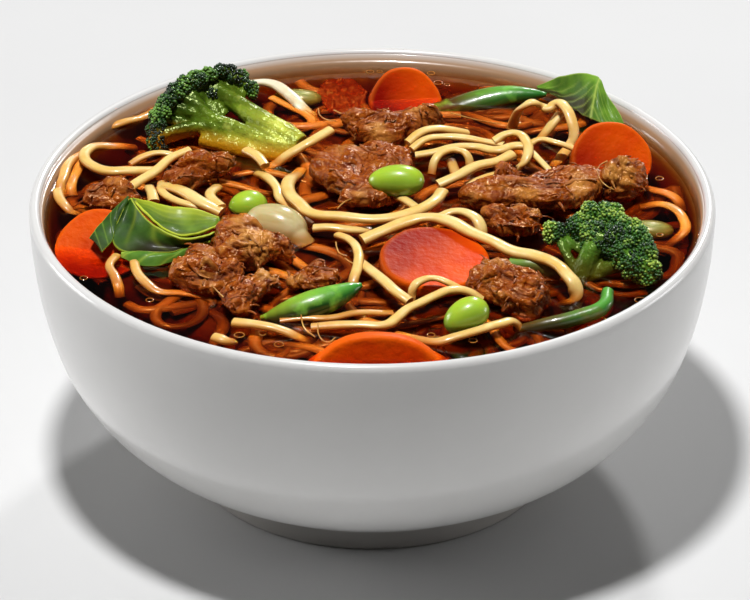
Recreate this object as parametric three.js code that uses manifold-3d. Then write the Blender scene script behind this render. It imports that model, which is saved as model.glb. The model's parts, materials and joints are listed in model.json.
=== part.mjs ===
// A white stoneware bowl of beef noodle soup: curly noodles in clear brown broth, with shaved
// beef, broccoli, carrot slices, green soybeans, pods, leaves and a spring onion bulb on top.
// Millimetres, +Z up. The origin is the centre of the foot's underside, and -Y is the front.

import * as THREE from 'three';
import { mergeVertices } from 'three/addons/utils/BufferGeometryUtils.js';
import Module from 'manifold-3d';

const wasm = await Module();
wasm.setup();

// ---- driving dimensions -------------------------------------------------------------------

const BOWL_SEGMENTS = 36;
const FOOT_RADIUS = 46;
const FOOT_WIDTH = 4.2;
const FOOT_HEIGHT = 6.4;
const FOOT_RECESS = 2.6;
const RIM_RADIUS = 85.3;
const RIM_HEIGHT = 75.1;
const LIP = 1.6;
const WALL = 3.8;
const FLOOR_HEIGHT = 8;

const BROTH_LEVEL = 70.5;
const BROTH_DEPTH = 24;
const GAP = 0.35;
const GROWTH = 0.5;
const FREEBOARD = 40;

const CORE_RADIUS = 65;
const CORE_SEGMENTS = 24;
const CORE_RINGS = 9;
const CORE_TOP_SHARE = 0.88;
const CORE_CROWN = 0.7;
const CORE_KNOBS = 0.5;
const CORE_UNEVENNESS = 1.6;
const CORE_SLOPE_START = 0.93;
const CORE_EDGE_DROP = 2;
const CORE_BACK_INSET = 7;
const CORE_BACK_HEADING = 105;
const CORE_FRONT_INSET = 5;
const CORE_FRONT_HEADING = 240;
const FLANK_TOP = 5;
const FLANK_TOP_RADIUS = 67;
const FLANK_SHOULDER = 9;
const FLANK_RADIUS = 72;
const BEEF_EDGE = 1.3;

const STRAND_SIDES = 5;
const STRAND_STEP = 6.5;

// ---- small helpers ------------------------------------------------------------------------

/** A repeatable stream of numbers from 0 to 1. */
function randomFrom(seed) {
  let state = seed >>> 0;
  return () => {
    state = (state + 0x6d2b79f5) >>> 0;
    let mixed = Math.imul(state ^ (state >>> 15), 1 | state);
    mixed = (mixed + Math.imul(mixed ^ (mixed >>> 7), 61 | mixed)) ^ mixed;
    return ((mixed ^ (mixed >>> 14)) >>> 0) / 4294967296;
  };
}

/** A smooth uneven surface: five crossing ripples of about one period, from -1 to 1. */
function ripples(period, seed) {
  const random = randomFrom(seed);
  const waves = Array.from({ length: 5 }, () => {
    const heading = random() * Math.PI * 2;
    const rate = (Math.PI * 2) / (period * (0.7 + 0.8 * random()));
    return { along: Math.cos(heading) * rate, across: Math.sin(heading) * rate, phase: random() * 6.3 };
  });
  return (x, y) => {
    const heights = waves.map(({ along, across, phase }) => Math.sin(along * x + across * y + phase));
    return heights.reduce((total, height) => total + height, 0) / 3;
  };
}

/** Broth-relative point lists, [x, y, height above the broth], as vectors. */
function places(points) {
  return points.map(([x, y, height]) => new THREE.Vector3(x, y, BROTH_LEVEL + height));
}

/** The solid inside a closed mesh, whichever way its faces were wound. */
function solid(geometry) {
  const bare = new THREE.BufferGeometry();
  bare.setAttribute('position', geometry.getAttribute('position').clone());
  bare.setIndex(geometry.index ? Array.from(geometry.index.array) : null);
  const merged = mergeVertices(bare, 1e-4);
  const spot = new THREE.Vector3();
  const [first, second, third] = [new THREE.Vector3(), new THREE.Vector3(), new THREE.Vector3()];
  const corners = [];
  let volume = 0;
  for (let i = 0; i < merged.index.count; i += 3) {
    const [a, b, c] = [0, 1, 2].map((step) => merged.index.getX(i + step));
    if (a === b || b === c || c === a) continue;
    corners.push(a, b, c);
    first.fromBufferAttribute(merged.attributes.position, a);
    second.fromBufferAttribute(merged.attributes.position, b);
    third.fromBufferAttribute(merged.attributes.position, c);
    volume += first.dot(spot.crossVectors(second, third));
  }
  if (volume < 0) corners.reverse();
  return new wasm.Manifold(new wasm.Mesh({
    numProp: 3,
    vertProperties: new Float32Array(merged.attributes.position.array),
    triVerts: new Uint32Array(corners),
  }));
}

/** The triangles of a solid as a geometry. */
function faces(body) {
  const { vertProperties, triVerts } = body.getMesh();
  const geometry = new THREE.BufferGeometry();
  geometry.setAttribute('position', new THREE.BufferAttribute(new Float32Array(vertProperties), 3));
  geometry.setIndex(Array.from(triVerts));
  geometry.computeVertexNormals();
  return geometry;
}

/** The same solid with every corner moved outwards, for cutting a clear gap round it. */
function grown(body, distance = GROWTH) {
  const geometry = faces(body);
  const { position, normal } = geometry.attributes;
  for (let i = 0; i < position.count; i += 1) {
    position.setXYZ(
      i,
      position.getX(i) + normal.getX(i) * distance,
      position.getY(i) + normal.getY(i) * distance,
      position.getZ(i) + normal.getZ(i) * distance,
    );
  }
  return solid(geometry);
}

function joined(bodies) {
  return bodies.reduce((whole, body) => whole.add(body));
}

/** The largest connected body, without the scraps that a cut leaves. */
function largest(body) {
  const pieces = body.decompose();
  return pieces.reduce((best, piece) => (piece.volume() > best.volume() ? piece : best));
}

/** A profile of [radius, height] pairs turned round the upright axis. */
function turned(profile, segments = BOWL_SEGMENTS) {
  const points = profile.map(([radius, height]) => new THREE.Vector2(radius, height));
  return solid(new THREE.LatheGeometry(points, segments).rotateX(Math.PI / 2));
}

// ---- the bowl -----------------------------------------------------------------------------

/** Points on a smooth line through the given [radius, height] pairs. */
function smoothProfile(pairs, count) {
  const curve = new THREE.SplineCurve(pairs.map(([radius, height]) => new THREE.Vector2(radius, height)));
  return curve.getSpacedPoints(count).map(({ x, y }) => [x, y]);
}

const OUTER_WALL = smoothProfile([
  [FOOT_RADIUS + 1.4, FOOT_HEIGHT], [56.5, 12], [65, 18], [72.6, 26], [78.5, 36], [82.3, 48], [84.4, 60],
  [RIM_RADIUS - 0.1, RIM_HEIGHT - 5], [RIM_RADIUS, RIM_HEIGHT - LIP],
], 6);

const INNER_WALL = smoothProfile([
  [0.01, FLOOR_HEIGHT], [30, FLOOR_HEIGHT + 1], [46, 13.2], [58, 20.5], [67, 29], [73.6, 38.5], [78, 50],
  [80.4, 61], [RIM_RADIUS - WALL, BROTH_LEVEL], [RIM_RADIUS - WALL + 0.9, RIM_HEIGHT - LIP * 0.8],
], 6);

function bowl() {
  const footInside = FOOT_RADIUS - FOOT_WIDTH;
  const lipCentre = (OUTER_WALL.at(-1)[0] + INNER_WALL.at(-1)[0]) / 2;
  return turned([
    [0, FOOT_RECESS], [footInside - 1, FOOT_RECESS], [footInside, 0], [FOOT_RADIUS - 0.6, 0],
    [FOOT_RADIUS, 0.7], [FOOT_RADIUS, FOOT_HEIGHT - 0.4], ...OUTER_WALL,
    [RIM_RADIUS - 0.5, RIM_HEIGHT - 0.45], [lipCentre, RIM_HEIGHT],
    [INNER_WALL.at(-1)[0] + 0.5, RIM_HEIGHT - 0.3], ...INNER_WALL.slice(1).reverse(), [0, FLOOR_HEIGHT],
  ]);
}

/** The radius of the inner wall at a height. */
function wallRadius(height) {
  const above = INNER_WALL.findIndex((point) => point[1] >= height);
  if (above < 1) return above < 0 ? INNER_WALL.at(-1)[0] : 0;
  const [[lowRadius, low], [highRadius, high]] = [INNER_WALL[above - 1], INNER_WALL[above]];
  return THREE.MathUtils.mapLinear(height, low, high, lowRadius, highRadius);
}

/** What fills the bowl from one height up to another, clear of its wall. */
function filling(bottom, top, segments = BOWL_SEGMENTS) {
  const between = INNER_WALL.filter((point) => point[1] > bottom && point[1] < top);
  const side = [[wallRadius(bottom), bottom], ...between, [wallRadius(top), top]];
  const clear = side.map(([radius, height]) => [Math.max(radius - GAP, 0), height]);
  return turned([[0, bottom], ...clear, [0, top]], segments);
}

const CAVITY = filling(FLOOR_HEIGHT + 0.6, BROTH_LEVEL + FREEBOARD);

// ---- shapes for food ----------------------------------------------------------------------

/**
 * A cushion over an outline: a ball whose upper half is spread over the outline and raised
 * by top(x, y, reach) and whose lower half is lowered to bottom(x, y, reach), with reach 0 in
 * the middle and 1 on the outline.
 */
function cushion({ outline, top, bottom, segments = 14, rings = 6, share = 0.8 }) {
  const curve = new THREE.CatmullRomCurve3(outline.map(([x, y]) => new THREE.Vector3(x, y, 0)), true);
  const rim = curve.getSpacedPoints(segments);
  const middle = rim.slice(1).reduce((sum, point) => sum.add(point), new THREE.Vector3());
  middle.divideScalar(segments);
  const geometry = new THREE.SphereGeometry(1, segments, rings);
  const { position, uv } = geometry.attributes;
  for (let i = 0; i < position.count; i += 1) {
    const down = 1 - (i < segments + 1 ? 1 : uv.getY(i));
    const polar = i >= position.count - segments - 1 ? 1 : down;
    const reach = polar <= share ? polar / share : (1 - polar) / (1 - share);
    const turn = Math.round(uv.getX(i) * segments) % segments;
    const isPole = reach < 1e-6;
    const edge = rim[turn];
    const x = isPole ? middle.x : THREE.MathUtils.lerp(middle.x, edge.x, reach);
    const y = isPole ? middle.y : THREE.MathUtils.lerp(middle.y, edge.y, reach);
    const height = polar <= share ? top(x, y, reach) : bottom(x, y, reach);
    position.setXYZ(i, x, y, BROTH_LEVEL + height);
  }
  return solid(geometry);
}

/** A round or flattened body bent along a line; size(t) is its half width from end to end. */
function bent({ line, size, flat = 1, sides = 10, steps = 10 }) {
  const curve = new THREE.CatmullRomCurve3(places(line));
  const geometry = new THREE.CylinderGeometry(1, 1, 1, sides, steps);
  const { position } = geometry.attributes;
  const up = new THREE.Vector3();
  const side = new THREE.Vector3();
  for (let i = 0; i < position.count; i += 1) {
    const along = position.getY(i) + 0.5;
    const forward = curve.getTangentAt(along);
    side.crossVectors(forward, new THREE.Vector3(0, 0, 1)).normalize();
    up.crossVectors(side, forward);
    const half = size(along);
    const centre = curve.getPointAt(along);
    centre.addScaledVector(side, position.getX(i) * half);
    centre.addScaledVector(up, position.getZ(i) * half * flat);
    position.setXYZ(i, centre.x, centre.y, centre.z);
  }
  return solid(geometry);
}

/** A thin sheet round a surface place(u, v), its two faces split into triangles alike. */
function sheet({ place, thickness, across = 5, along = 9 }) {
  const plane = new THREE.PlaneGeometry(1, 1, across, along);
  const { position } = plane.attributes;
  for (let i = 0; i < position.count; i += 1) {
    const point = place(position.getX(i) + 0.5, position.getY(i) + 0.5);
    position.setXYZ(i, point.x, point.y, point.z);
  }
  plane.computeVertexNormals();
  const { normal } = plane.attributes;
  const corners = [];
  for (const side of [1, -1]) {
    for (let i = 0; i < position.count; i += 1) {
      corners.push(
        position.getX(i) + normal.getX(i) * side * thickness / 2,
        position.getY(i) + normal.getY(i) * side * thickness / 2,
        position.getZ(i) + normal.getZ(i) * side * thickness / 2,
      );
    }
  }
  const { array } = plane.index;
  const under = position.count;
  const triangles = Array.from(array);
  for (let i = 0; i < array.length; i += 3) {
    triangles.push(array[i] + under, array[i + 2] + under, array[i + 1] + under);
  }
  const row = across + 1;
  const border = [
    ...Array.from({ length: across }, (_, i) => i),
    ...Array.from({ length: along }, (_, i) => across + i * row),
    ...Array.from({ length: across }, (_, i) => row * along + across - i),
    ...Array.from({ length: along }, (_, i) => row * (along - i)),
  ];
  border.forEach((from, i) => {
    const to = border[(i + 1) % border.length];
    triangles.push(from, to, from + under, to, to + under, from + under);
  });
  const geometry = new THREE.BufferGeometry();
  geometry.setAttribute('position', new THREE.Float32BufferAttribute(corners, 3));
  geometry.setIndex(triangles);
  return solid(geometry);
}

/** A leaf between two edge lines, swelling by arch from their plane. */
function leaf({ edges, arch, thickness = 0.9, across, along }) {
  const [left, right] = edges.map((line) => new THREE.CatmullRomCurve3(places(line)));
  const place = (u, v) => {
    const point = left.getPoint(v).lerp(right.getPoint(v), u);
    const lift = arch(u, v);
    return point.add(new THREE.Vector3(lift[0], lift[1], lift[2]));
  };
  return sheet({ place, thickness, across, along });
}

/** An ellipsoid with its long axis turned by heading and tipped by tilt, in degrees. */
function bean({ at, radii, heading = 0, tilt = 0, segments = 10, rings = 7 }) {
  const geometry = new THREE.SphereGeometry(1, segments, rings);
  geometry.scale(...radii);
  geometry.rotateY(-THREE.MathUtils.degToRad(tilt));
  geometry.rotateZ(THREE.MathUtils.degToRad(heading));
  const [centre] = places([at]);
  return solid(geometry.translate(centre.x, centre.y, centre.z));
}

// ---- noodles ------------------------------------------------------------------------------

const heap = ripples(17, 21);
const heapEdge = ripples(2.1, 8);

/** The heap's radius at an angle, uneven and drawn in where the broth shows. */
function coreRadius(angle) {
  const towards = (heading) => Math.max(0, Math.cos(angle - THREE.MathUtils.degToRad(heading)));
  const uneven = CORE_UNEVENNESS * heapEdge(Math.cos(angle), Math.sin(angle));
  const backInset = CORE_BACK_INSET * towards(CORE_BACK_HEADING) ** 3;
  const frontInset = CORE_FRONT_INSET * towards(CORE_FRONT_HEADING) ** 4;
  return CORE_RADIUS + uneven - backInset - frontInset;
}

/** The heap under the toppings: full to the wall low down, wide in the broth, a knobbly mound above. */
function coreHeap(margin) {
  const outline = Array.from({ length: CORE_SEGMENTS }, (_, i) => {
    const angle = (i / CORE_SEGMENTS) * Math.PI * 2;
    const radius = coreRadius(angle) + margin;
    return [Math.cos(angle) * radius, Math.sin(angle) * radius];
  });
  const mound = cushion({
    outline,
    segments: CORE_SEGMENTS,
    rings: CORE_RINGS,
    share: CORE_TOP_SHARE,
    top: (x, y, reach) => {
      const slope = THREE.MathUtils.smoothstep(reach, CORE_SLOPE_START, 1);
      const crown = (CORE_CROWN + CORE_KNOBS * heap(x, y)) * (1 - slope);
      return margin + crown - CORE_EDGE_DROP * slope;
    },
    bottom: () => -BROTH_DEPTH - 8,
  });
  const heapBottom = BROTH_LEVEL - BROTH_DEPTH + margin;
  const flank = turned([
    [0, heapBottom - 1], [FLANK_RADIUS + margin, heapBottom - 1],
    [FLANK_RADIUS + margin, BROTH_LEVEL - FLANK_SHOULDER + margin],
    [FLANK_TOP_RADIUS + margin, BROTH_LEVEL - FLANK_TOP + margin], [0, BROTH_LEVEL - FLANK_TOP + margin],
  ], CORE_SEGMENTS);
  return mound.add(flank).add(filling(FLOOR_HEIGHT + 0.6, heapBottom, BOWL_SEGMENTS / 2));
}

/** One noodle: a round section drawn along its route. */
function strand(width, route) {
  const curve = new THREE.CatmullRomCurve3(places(route), false, 'centripetal');
  const section = new THREE.Shape(Array.from({ length: STRAND_SIDES }, (_, i) => {
    const angle = ((i + 0.5) / STRAND_SIDES) * Math.PI * 2;
    return new THREE.Vector2(Math.cos(angle), Math.sin(angle)).multiplyScalar(width / 2);
  }));
  const steps = Math.max(3, Math.round(curve.getLength() / STRAND_STEP));
  return solid(new THREE.ExtrudeGeometry(section, { extrudePath: curve, steps }));
}

// Each noodle that shows: its width, then its route as [x, y, height above the broth].
const STRANDS = [
  [3.4, [-50, 22, 0], [-55, 20, 2], [-67, 18.5, 2.2], [-73, 25.5, 2.2], [-70, 35, 0.8], [-62, 39, -3]],
  [2.8, [-61, 8, 2.6], [-54.5, 14.5, 4.4], [-45, 20, 6.5]],
  [2.4, [-53, 14, 1], [-52, 6, 2], [-48, 2, 2], [-40, 1, 0]],
  [3.4, [-51, 12, 1.4], [-46, 5.5, 2.6], [-37, -2, 1]],
  [2.8, [-39, 12.5, 0.6], [-40.5, 5, 2], [-37.5, -1, 2]],
  [3.2, [-10.5, 34.5, 5], [-19, 28.5, 3], [-28, 26, -2]],
  [3.6, [-18, 24, -1], [-21, 13, 1.6], [-20, 4, 3], [-15, -6.5, 3.4], [2, -11, 4], [13, -6, 5],
    [17.5, 4, 4]],
  [2.7, [-30, 19, 0], [-24, 9.5, 2], [-21, 2, 1.4], [-14.5, -3, 1]],
  [4.2, [-6, -20, 0], [-1, -18.5, 3.4], [8.5, -14.5, 5], [19, -16, 6], [29.5, -24.5, 5.4], [40, -30.5, 4.6],
    [47.5, -38.5, 4], [48, -42, 1], [45, -41, -3]],
  [2.9, [16.5, -8, 3], [22, -8, 4], [27, -12, 1.6]],
  [2.6, [-10, -14, 0], [-5.5, -18, 2.4], [-3.5, -28, 2.8], [-5, -39, -1]],
  [3, [-4, -27, 0.6], [4, -42, 3], [10, -49.5, 1.6]],
  [2.3, [9, -47, 0.6], [11, -45, 4.6], [17, -43.5, 5], [22, -44, 2]],
  [2.7, [-14.5, -58, 0.2], [2, -59, 1.4], [8.5, -54.5, 3], [17, -48, 4], [25, -46, 2.4], [30, -47, 0]],
  [2.5, [-56, -23, -1], [-57, -32, 1], [-51, -38, -0.2], [-44, -39, -2]],
  [2.8, [36, 47, -1], [39, 43.5, 7.4], [42, 43, 9], [45.5, 43.5, 7.2], [49, 42, 8.4], [51, 36, 5.4],
    [50, 33, 1.4], [46, 28, -2]],
  [3, [48.5, 44, 5], [45, 41, 2], [41.5, 39, -1]],
  [2.4, [39, 28, 3.6], [46.5, 28.5, 5], [53, 27, 2.6], [55, 26, -1]],
  [2.8, [31, 30, 4.2], [37, 30.5, 6.4], [39.5, 24, 5], [37, 21, 1]],
  [2.9, [10, 27, 1.6], [24, 28, 3.4], [38.5, 26.5, 5]],
  [2.9, [9, 33, 2.2], [16.5, 38, 3.8], [25, 41, 1]],
  [2.3, [15, 20, 0.6], [16.5, 23.5, 3], [22, 26, 4], [25, 22.5, 0.8]],
  [3.3, [15, 10, 1], [24, 15, 4], [36, 21, 5.4]],
  [2.8, [8, -58, -1], [18, -61.5, 1.4], [34, -57, 1.4], [37, -56, -1]],
];

// ---- meat ---------------------------------------------------------------------------------

/** A crumpled slice of beef over an outline, with folds of about one period. */
function beef({ outline, high, low = -3.5, fold = 1.4, period = 7, seed, segments, rings }) {
  const relief = ripples(period, seed);
  return cushion({
    outline,
    segments,
    rings,
    top: (x, y, reach) => {
      const dome = 1 - reach ** 5;
      return THREE.MathUtils.lerp(BEEF_EDGE, high - fold + fold * relief(x, y), dome);
    },
    bottom: (x, y, reach) => low * (1 - 0.7 * reach ** 2),
  });
}

const BEEF = {
  beef_back: {
    outline: [[-10.6, 44.4], [-8, 46], [-2, 46.4], [7, 46], [14, 47.6], [22.4, 48], [17, 45], [11.8, 41.4],
      [10.2, 38], [5.8, 35.2], [0, 34.6], [-5.2, 36.8], [-8.6, 41]],
    high: 7, fold: 1.4, seed: 3,
  },
  beef_middle: {
    outline: [[-18.4, 18.6], [-18, 21], [-15.5, 25], [-12, 28], [-6, 30.4], [2, 31], [8.6, 30.4],
      [11.4, 26.5], [12.4, 21.5], [10.6, 15], [7.5, 8.4], [7.2, 2.4], [4.6, -1.6], [-3, -2.6], [-9.6, -1.4],
      [-7, 2.8], [-10.8, 7.8], [-14.6, 11.8]],
    high: 7.6, fold: 1.8, seed: 11, segments: 17, rings: 6,
  },
  beef_right: {
    outline: [[18.6, 3], [21, 6.4], [25, 9], [30, 10.2], [36, 11.4], [42.4, 14.4], [49, 17.6], [55, 20.2],
      [60, 19.6], [60.5, 13], [59, 7.4], [54.8, 1.6], [49.8, -0.6], [45.7, -3.6], [41, -2.2], [34.9, 1.2],
      [26.9, -0.6], [21.4, 0.6]],
    high: 6.6, fold: 1.4, seed: 17, segments: 17, rings: 6,
  },
  beef_right_curl: {
    outline: [[57.6, 9], [57.4, 12], [58, 15], [60, 18.6], [63, 18.8], [65, 16.6], [67.6, 16.2], [69, 13],
      [67.6, 9.4], [63, 6.4]],
    high: 9.4, fold: 1.8, period: 6, seed: 5,
  },
  beef_fold: {
    outline: [[27, -6.4], [30, -4.6], [34.5, -4], [38.6, -4.6], [41.6, -8], [42.6, -12], [39, -15],
      [35.4, -14.6], [31, -14.4], [28, -10]],
    high: 6.8, fold: 1.6, seed: 29,
  },
  beef_knob: {
    outline: [[31, 9], [31.5, 14], [34, 16], [36.5, 14], [35.5, 9.5]], high: 7.4, fold: 0.6, seed: 2,
    segments: 9, rings: 5,
  },
  beef_left_curl: {
    outline: [[-72.4, 3.4], [-71.4, 7.6], [-69, 9.6], [-66, 9], [-63.4, 8.4], [-60, 8], [-58.8, 6],
      [-62.6, 1.4], [-66.6, 0.8], [-70.2, 0.2]],
    high: 4.8, fold: 1.2, period: 5, seed: 31, segments: 11, rings: 5,
  },
  beef_left: {
    outline: [[-53, 11.6], [-51.4, 14.4], [-49.4, 18.4], [-45, 21], [-40, 24.6], [-36, 24], [-34, 20.8],
      [-35.2, 18], [-39.4, 15.8], [-42, 12], [-46.7, 8.8], [-50.6, 8.2]],
    high: 7, fold: 1.6, seed: 37,
  },
  beef_front_ridge: {
    outline: [[-37, -11], [-34, -10.6], [-31, -14.5], [-27, -19], [-22, -22.4], [-17, -25.6], [-18, -28],
      [-24, -28.5], [-29, -33], [-33, -34], [-38, -29], [-40.6, -23], [-39.6, -18]],
    high: 9.4, fold: 1.8, seed: 41, segments: 15, rings: 6,
  },
  beef_front: {
    outline: [[-50, -34], [-47, -29.5], [-43, -25], [-40, -27], [-37, -30.5], [-33, -34], [-29.5, -36.5],
      [-30.5, -39.5], [-35.3, -42], [-40, -43], [-44.4, -41.5], [-48.4, -38.4]],
    high: 6.8, fold: 1.7, seed: 43, segments: 16,
  },
  beef_shred: {
    outline: [[-36.8, -45], [-35.5, -42.6], [-31.8, -43], [-29, -40.5], [-26.6, -37], [-24.6, -35],
      [-22.4, -37], [-21.5, -39.4], [-23.2, -42], [-26.5, -45.6], [-29.8, -50], [-31.5, -53.5],
      [-34.5, -52.5]],
    high: 5.2, fold: 1.2, period: 5, seed: 47, segments: 13, rings: 5,
  },
  beef_bit: {
    outline: [[-19.8, -38], [-17.5, -35.6], [-14.6, -34.4], [-11.7, -34], [-8.6, -35.6], [-7.4, -37.4],
      [-10.7, -40], [-15, -42], [-18.4, -41]],
    high: 5, fold: 1.2, period: 5, seed: 53, segments: 11, rings: 5,
  },
  beef_corner: {
    outline: [[20.8, -41], [22.6, -37.4], [25, -34.2], [27.6, -31], [30, -30.4], [32.4, -33],
      [35.4, -36.8], [38.4, -38.6], [42.4, -41.2], [44, -44.6], [42.4, -51], [38.6, -55], [34, -53],
      [30.4, -49.4], [27.4, -46], [24.6, -44.4]],
    high: 7.8, fold: 1.9, seed: 59, segments: 15, rings: 6,
  },
};

// ---- vegetables ---------------------------------------------------------------------------

/** A slice across a carrot, its rim standing a little proud of the dished cut faces. */
function carrot({ at, radii, thickness, lean, heading = 0, roll = 0 }) {
  const half = thickness / 2;
  const rim = Math.min(0.6, half / 3);
  const under = [[0, -half], [0.94, -half], [1, -half + rim]];
  const over = [[1, half - rim], [0.94, half], [0, half - 0.4]];
  const profile = [...under, ...over];
  const points = profile.map(([radius, height]) => new THREE.Vector2(radius, height));
  const geometry = new THREE.LatheGeometry(points, 15).rotateX(Math.PI / 2);
  geometry.scale(radii[0], radii[1], 1);
  geometry.rotateY(THREE.MathUtils.degToRad(roll));
  geometry.rotateX(THREE.MathUtils.degToRad(lean));
  geometry.rotateZ(THREE.MathUtils.degToRad(heading));
  const [centre] = places([at]);
  return solid(geometry.translate(centre.x, centre.y, centre.z));
}

const CARROTS = {
  carrot_centre: { at: [15, -30, 1.9], radii: [13.4, 13], thickness: 4.2, lean: 7, roll: 3 },
  carrot_left: { at: [-66, -18, -0.6], radii: [11.4, 11.4], thickness: 5, lean: 40, heading: -14 },
  carrot_right: { at: [60.5, 26, 0.6], radii: [10.4, 10.2], thickness: 4.6, lean: 52, heading: 8 },
  carrot_back: { at: [8.5, 64, -3], radii: [9.6, 10.4], thickness: 5.5, lean: 58, heading: 6 },
  carrot_front: { at: [1.5, -73, -8.6], radii: [18, 14], thickness: 4.6, lean: 77 },
};

/** A rough round knob of flower buds. */
function floret(at, radius, seed) {
  const geometry = new THREE.SphereGeometry(radius, 6, 4).rotateX(Math.PI / 2);
  const [centre] = places([at]);
  const uneven = ripples(radius * 0.9, seed);
  const { position } = geometry.attributes;
  for (let i = 0; i < position.count; i += 1) {
    const corner = new THREE.Vector3().fromBufferAttribute(position, i);
    corner.multiplyScalar(1 + 0.1 * uneven(corner.x + corner.z, corner.y - corner.z));
    position.setXYZ(i, corner.x + centre.x, corner.y + centre.y, corner.z + centre.z);
  }
  return solid(geometry);
}

/** Knobs of buds set along an arch, larger in its middle. */
function floretRow(arch, count, radius, seed) {
  const curve = new THREE.CatmullRomCurve3(arch.map((point) => new THREE.Vector3(...point)));
  return curve.getSpacedPoints(count - 1).map((point, i) => {
    const size = radius * (0.86 + 0.2 * Math.sin((Math.PI * (i + 0.5)) / count));
    return floret([point.x, point.y, point.z], size, seed + i);
  });
}

/** A half width that goes evenly from one end's to the other's. */
function taper(from, to) {
  return (t) => THREE.MathUtils.lerp(from, to, t);
}

/** A floret lying on its side: the crown fans to the back left, the cut stem points right. */
function broccoliLeft() {
  const arch = [[-55, 36.5, 1], [-54, 42, 6], [-49, 47.5, 9.8], [-42.5, 51.2, 11.4], [-35.5, 52.4, 11.2],
    [-32, 50, 9]];
  const stems = [
    { line: [[-20.5, 30, 2.6], [-28, 37.5, 5.2], [-37, 47.5, 9]], size: taper(3.8, 3.4) },
    { line: [[-26, 33, 3], [-38, 39, 5], [-47, 45, 8.4]], size: taper(3.2, 2.8) },
    { line: [[-30, 34, 1.5], [-42, 36.5, 2.4], [-53, 38.5, 3]], size: taper(2.8, 3.2) },
  ];
  const crown = [
    ...floretRow(arch, 7, 4.1, 60),
    ...floretRow([[-53, 43, 1], [-43, 49.5, 5.6]], 2, 5.4, 70),
  ];
  return [...stems.map((stem) => bent({ ...stem, sides: 6, steps: 2 })), ...crown];
}

/** A floret standing up in the broth, with a small side branch on its left. */
function broccoliRight() {
  const arch = [[51, -19, 5.4], [57, -17.5, 7.6], [62.5, -21, 6.6], [67, -27, 4], [66.5, -32.5, 0.6]];
  const stems = [
    { line: [[50, -32, -6], [52, -30, 0], [55, -27, 6]], size: taper(2.6, 4.2) },
    { line: [[50.5, -31, -1], [47.5, -26, 2], [45.5, -22.5, 4.6]], size: taper(1.7, 1.6) },
    { line: [[53, -31, -2], [59, -30, 1], [64, -28, 3]], size: taper(2.4, 4) },
  ];
  const crown = [
    floret([44.6, -21, 5.6], 2.7, 80),
    ...floretRow(arch, 5, 4.7, 81),
    ...floretRow([[55.5, -26, 5.4], [62, -31, 3]], 2, 5.2, 91),
  ];
  return [...stems.map((stem) => bent({ ...stem, sides: 6, steps: 2 })), ...crown];
}

/** The half width of a pod from its stalk end to its pointed tip. */
function podSize(thick, tip = 0.5) {
  return (t) => tip + (thick - tip) * Math.sin(Math.PI * Math.min(1, 0.3 + 0.7 * t)) ** 0.8;
}

function podBack() {
  return bent({
    line: [[17, 61, -1.6], [27, 63, -0.4], [36, 63.5, 0.6], [45.5, 62.5, 1.6]],
    size: podSize(4, 0.6), flat: 0.9, sides: 8, steps: 7,
  });
}

function podFront() {
  return bent({
    line: [[-26.5, -52, -0.4], [-18, -51.5, 1.2], [-9.5, -49, 3], [-2.6, -45.5, 4.6]],
    size: podSize(3.3, 0.8), flat: 0.9, sides: 8, steps: 7,
  });
}

function stalk() {
  return bent({
    line: [[56.5, -48, 4], [55, -54, 3.2], [49, -56.5, 1.8], [41, -58, 0.4], [34, -57, -2]],
    size: (t) => 1.7 - 0.2 * Math.cos(Math.PI * 2 * t), sides: 7, steps: 8,
  });
}

/** The cut end of a stalk with a fan of loose layers on its right. */
function stalkEnd() {
  return bent({
    line: [[34, -29, 0.6], [40, -31, 1.6], [46, -33.5, 0]], size: taper(2.5, 1.6), sides: 8, steps: 4,
  });
}

function sprout() {
  return bent({
    line: [[-33, 71, 0.8], [-27, 69.5, 1.4], [-22, 64, 1], [-18, 58.5, -0.6], [-15, 56, -3]],
    size: (t) => 0.5 + 1.3 * Math.sin(Math.PI * (0.12 + 0.76 * t)), flat: 0.5, sides: 6, steps: 7,
  });
}

function bulb() {
  const dome = bean({ at: [-23.6, -9, 1], radii: [8.2, 5.6, 5.4], heading: -24, tilt: -8 });
  const neck = bent({
    line: [[-21, -11, 0], [-17, -13.5, 0.4], [-14.5, -15.5, 0.2]],
    size: taper(3.2, 2.8), sides: 8, steps: 2,
  });
  return [dome, neck];
}

const BEANS = {
  soybean_centre: { at: [6, 5.4, 6], radii: [7.1, 4.3, 4.1], heading: -6, tilt: 4 },
  soybean_front: { at: [22.4, -58.4, 3.2], radii: [5.8, 4.3, 4.2], heading: 20, tilt: 22 },
  soybean_left: { at: [-31, 4.4, -0.8], radii: [5, 4.3, 4.2], heading: 10 },
};

// ---- leaves -------------------------------------------------------------------------------

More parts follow.
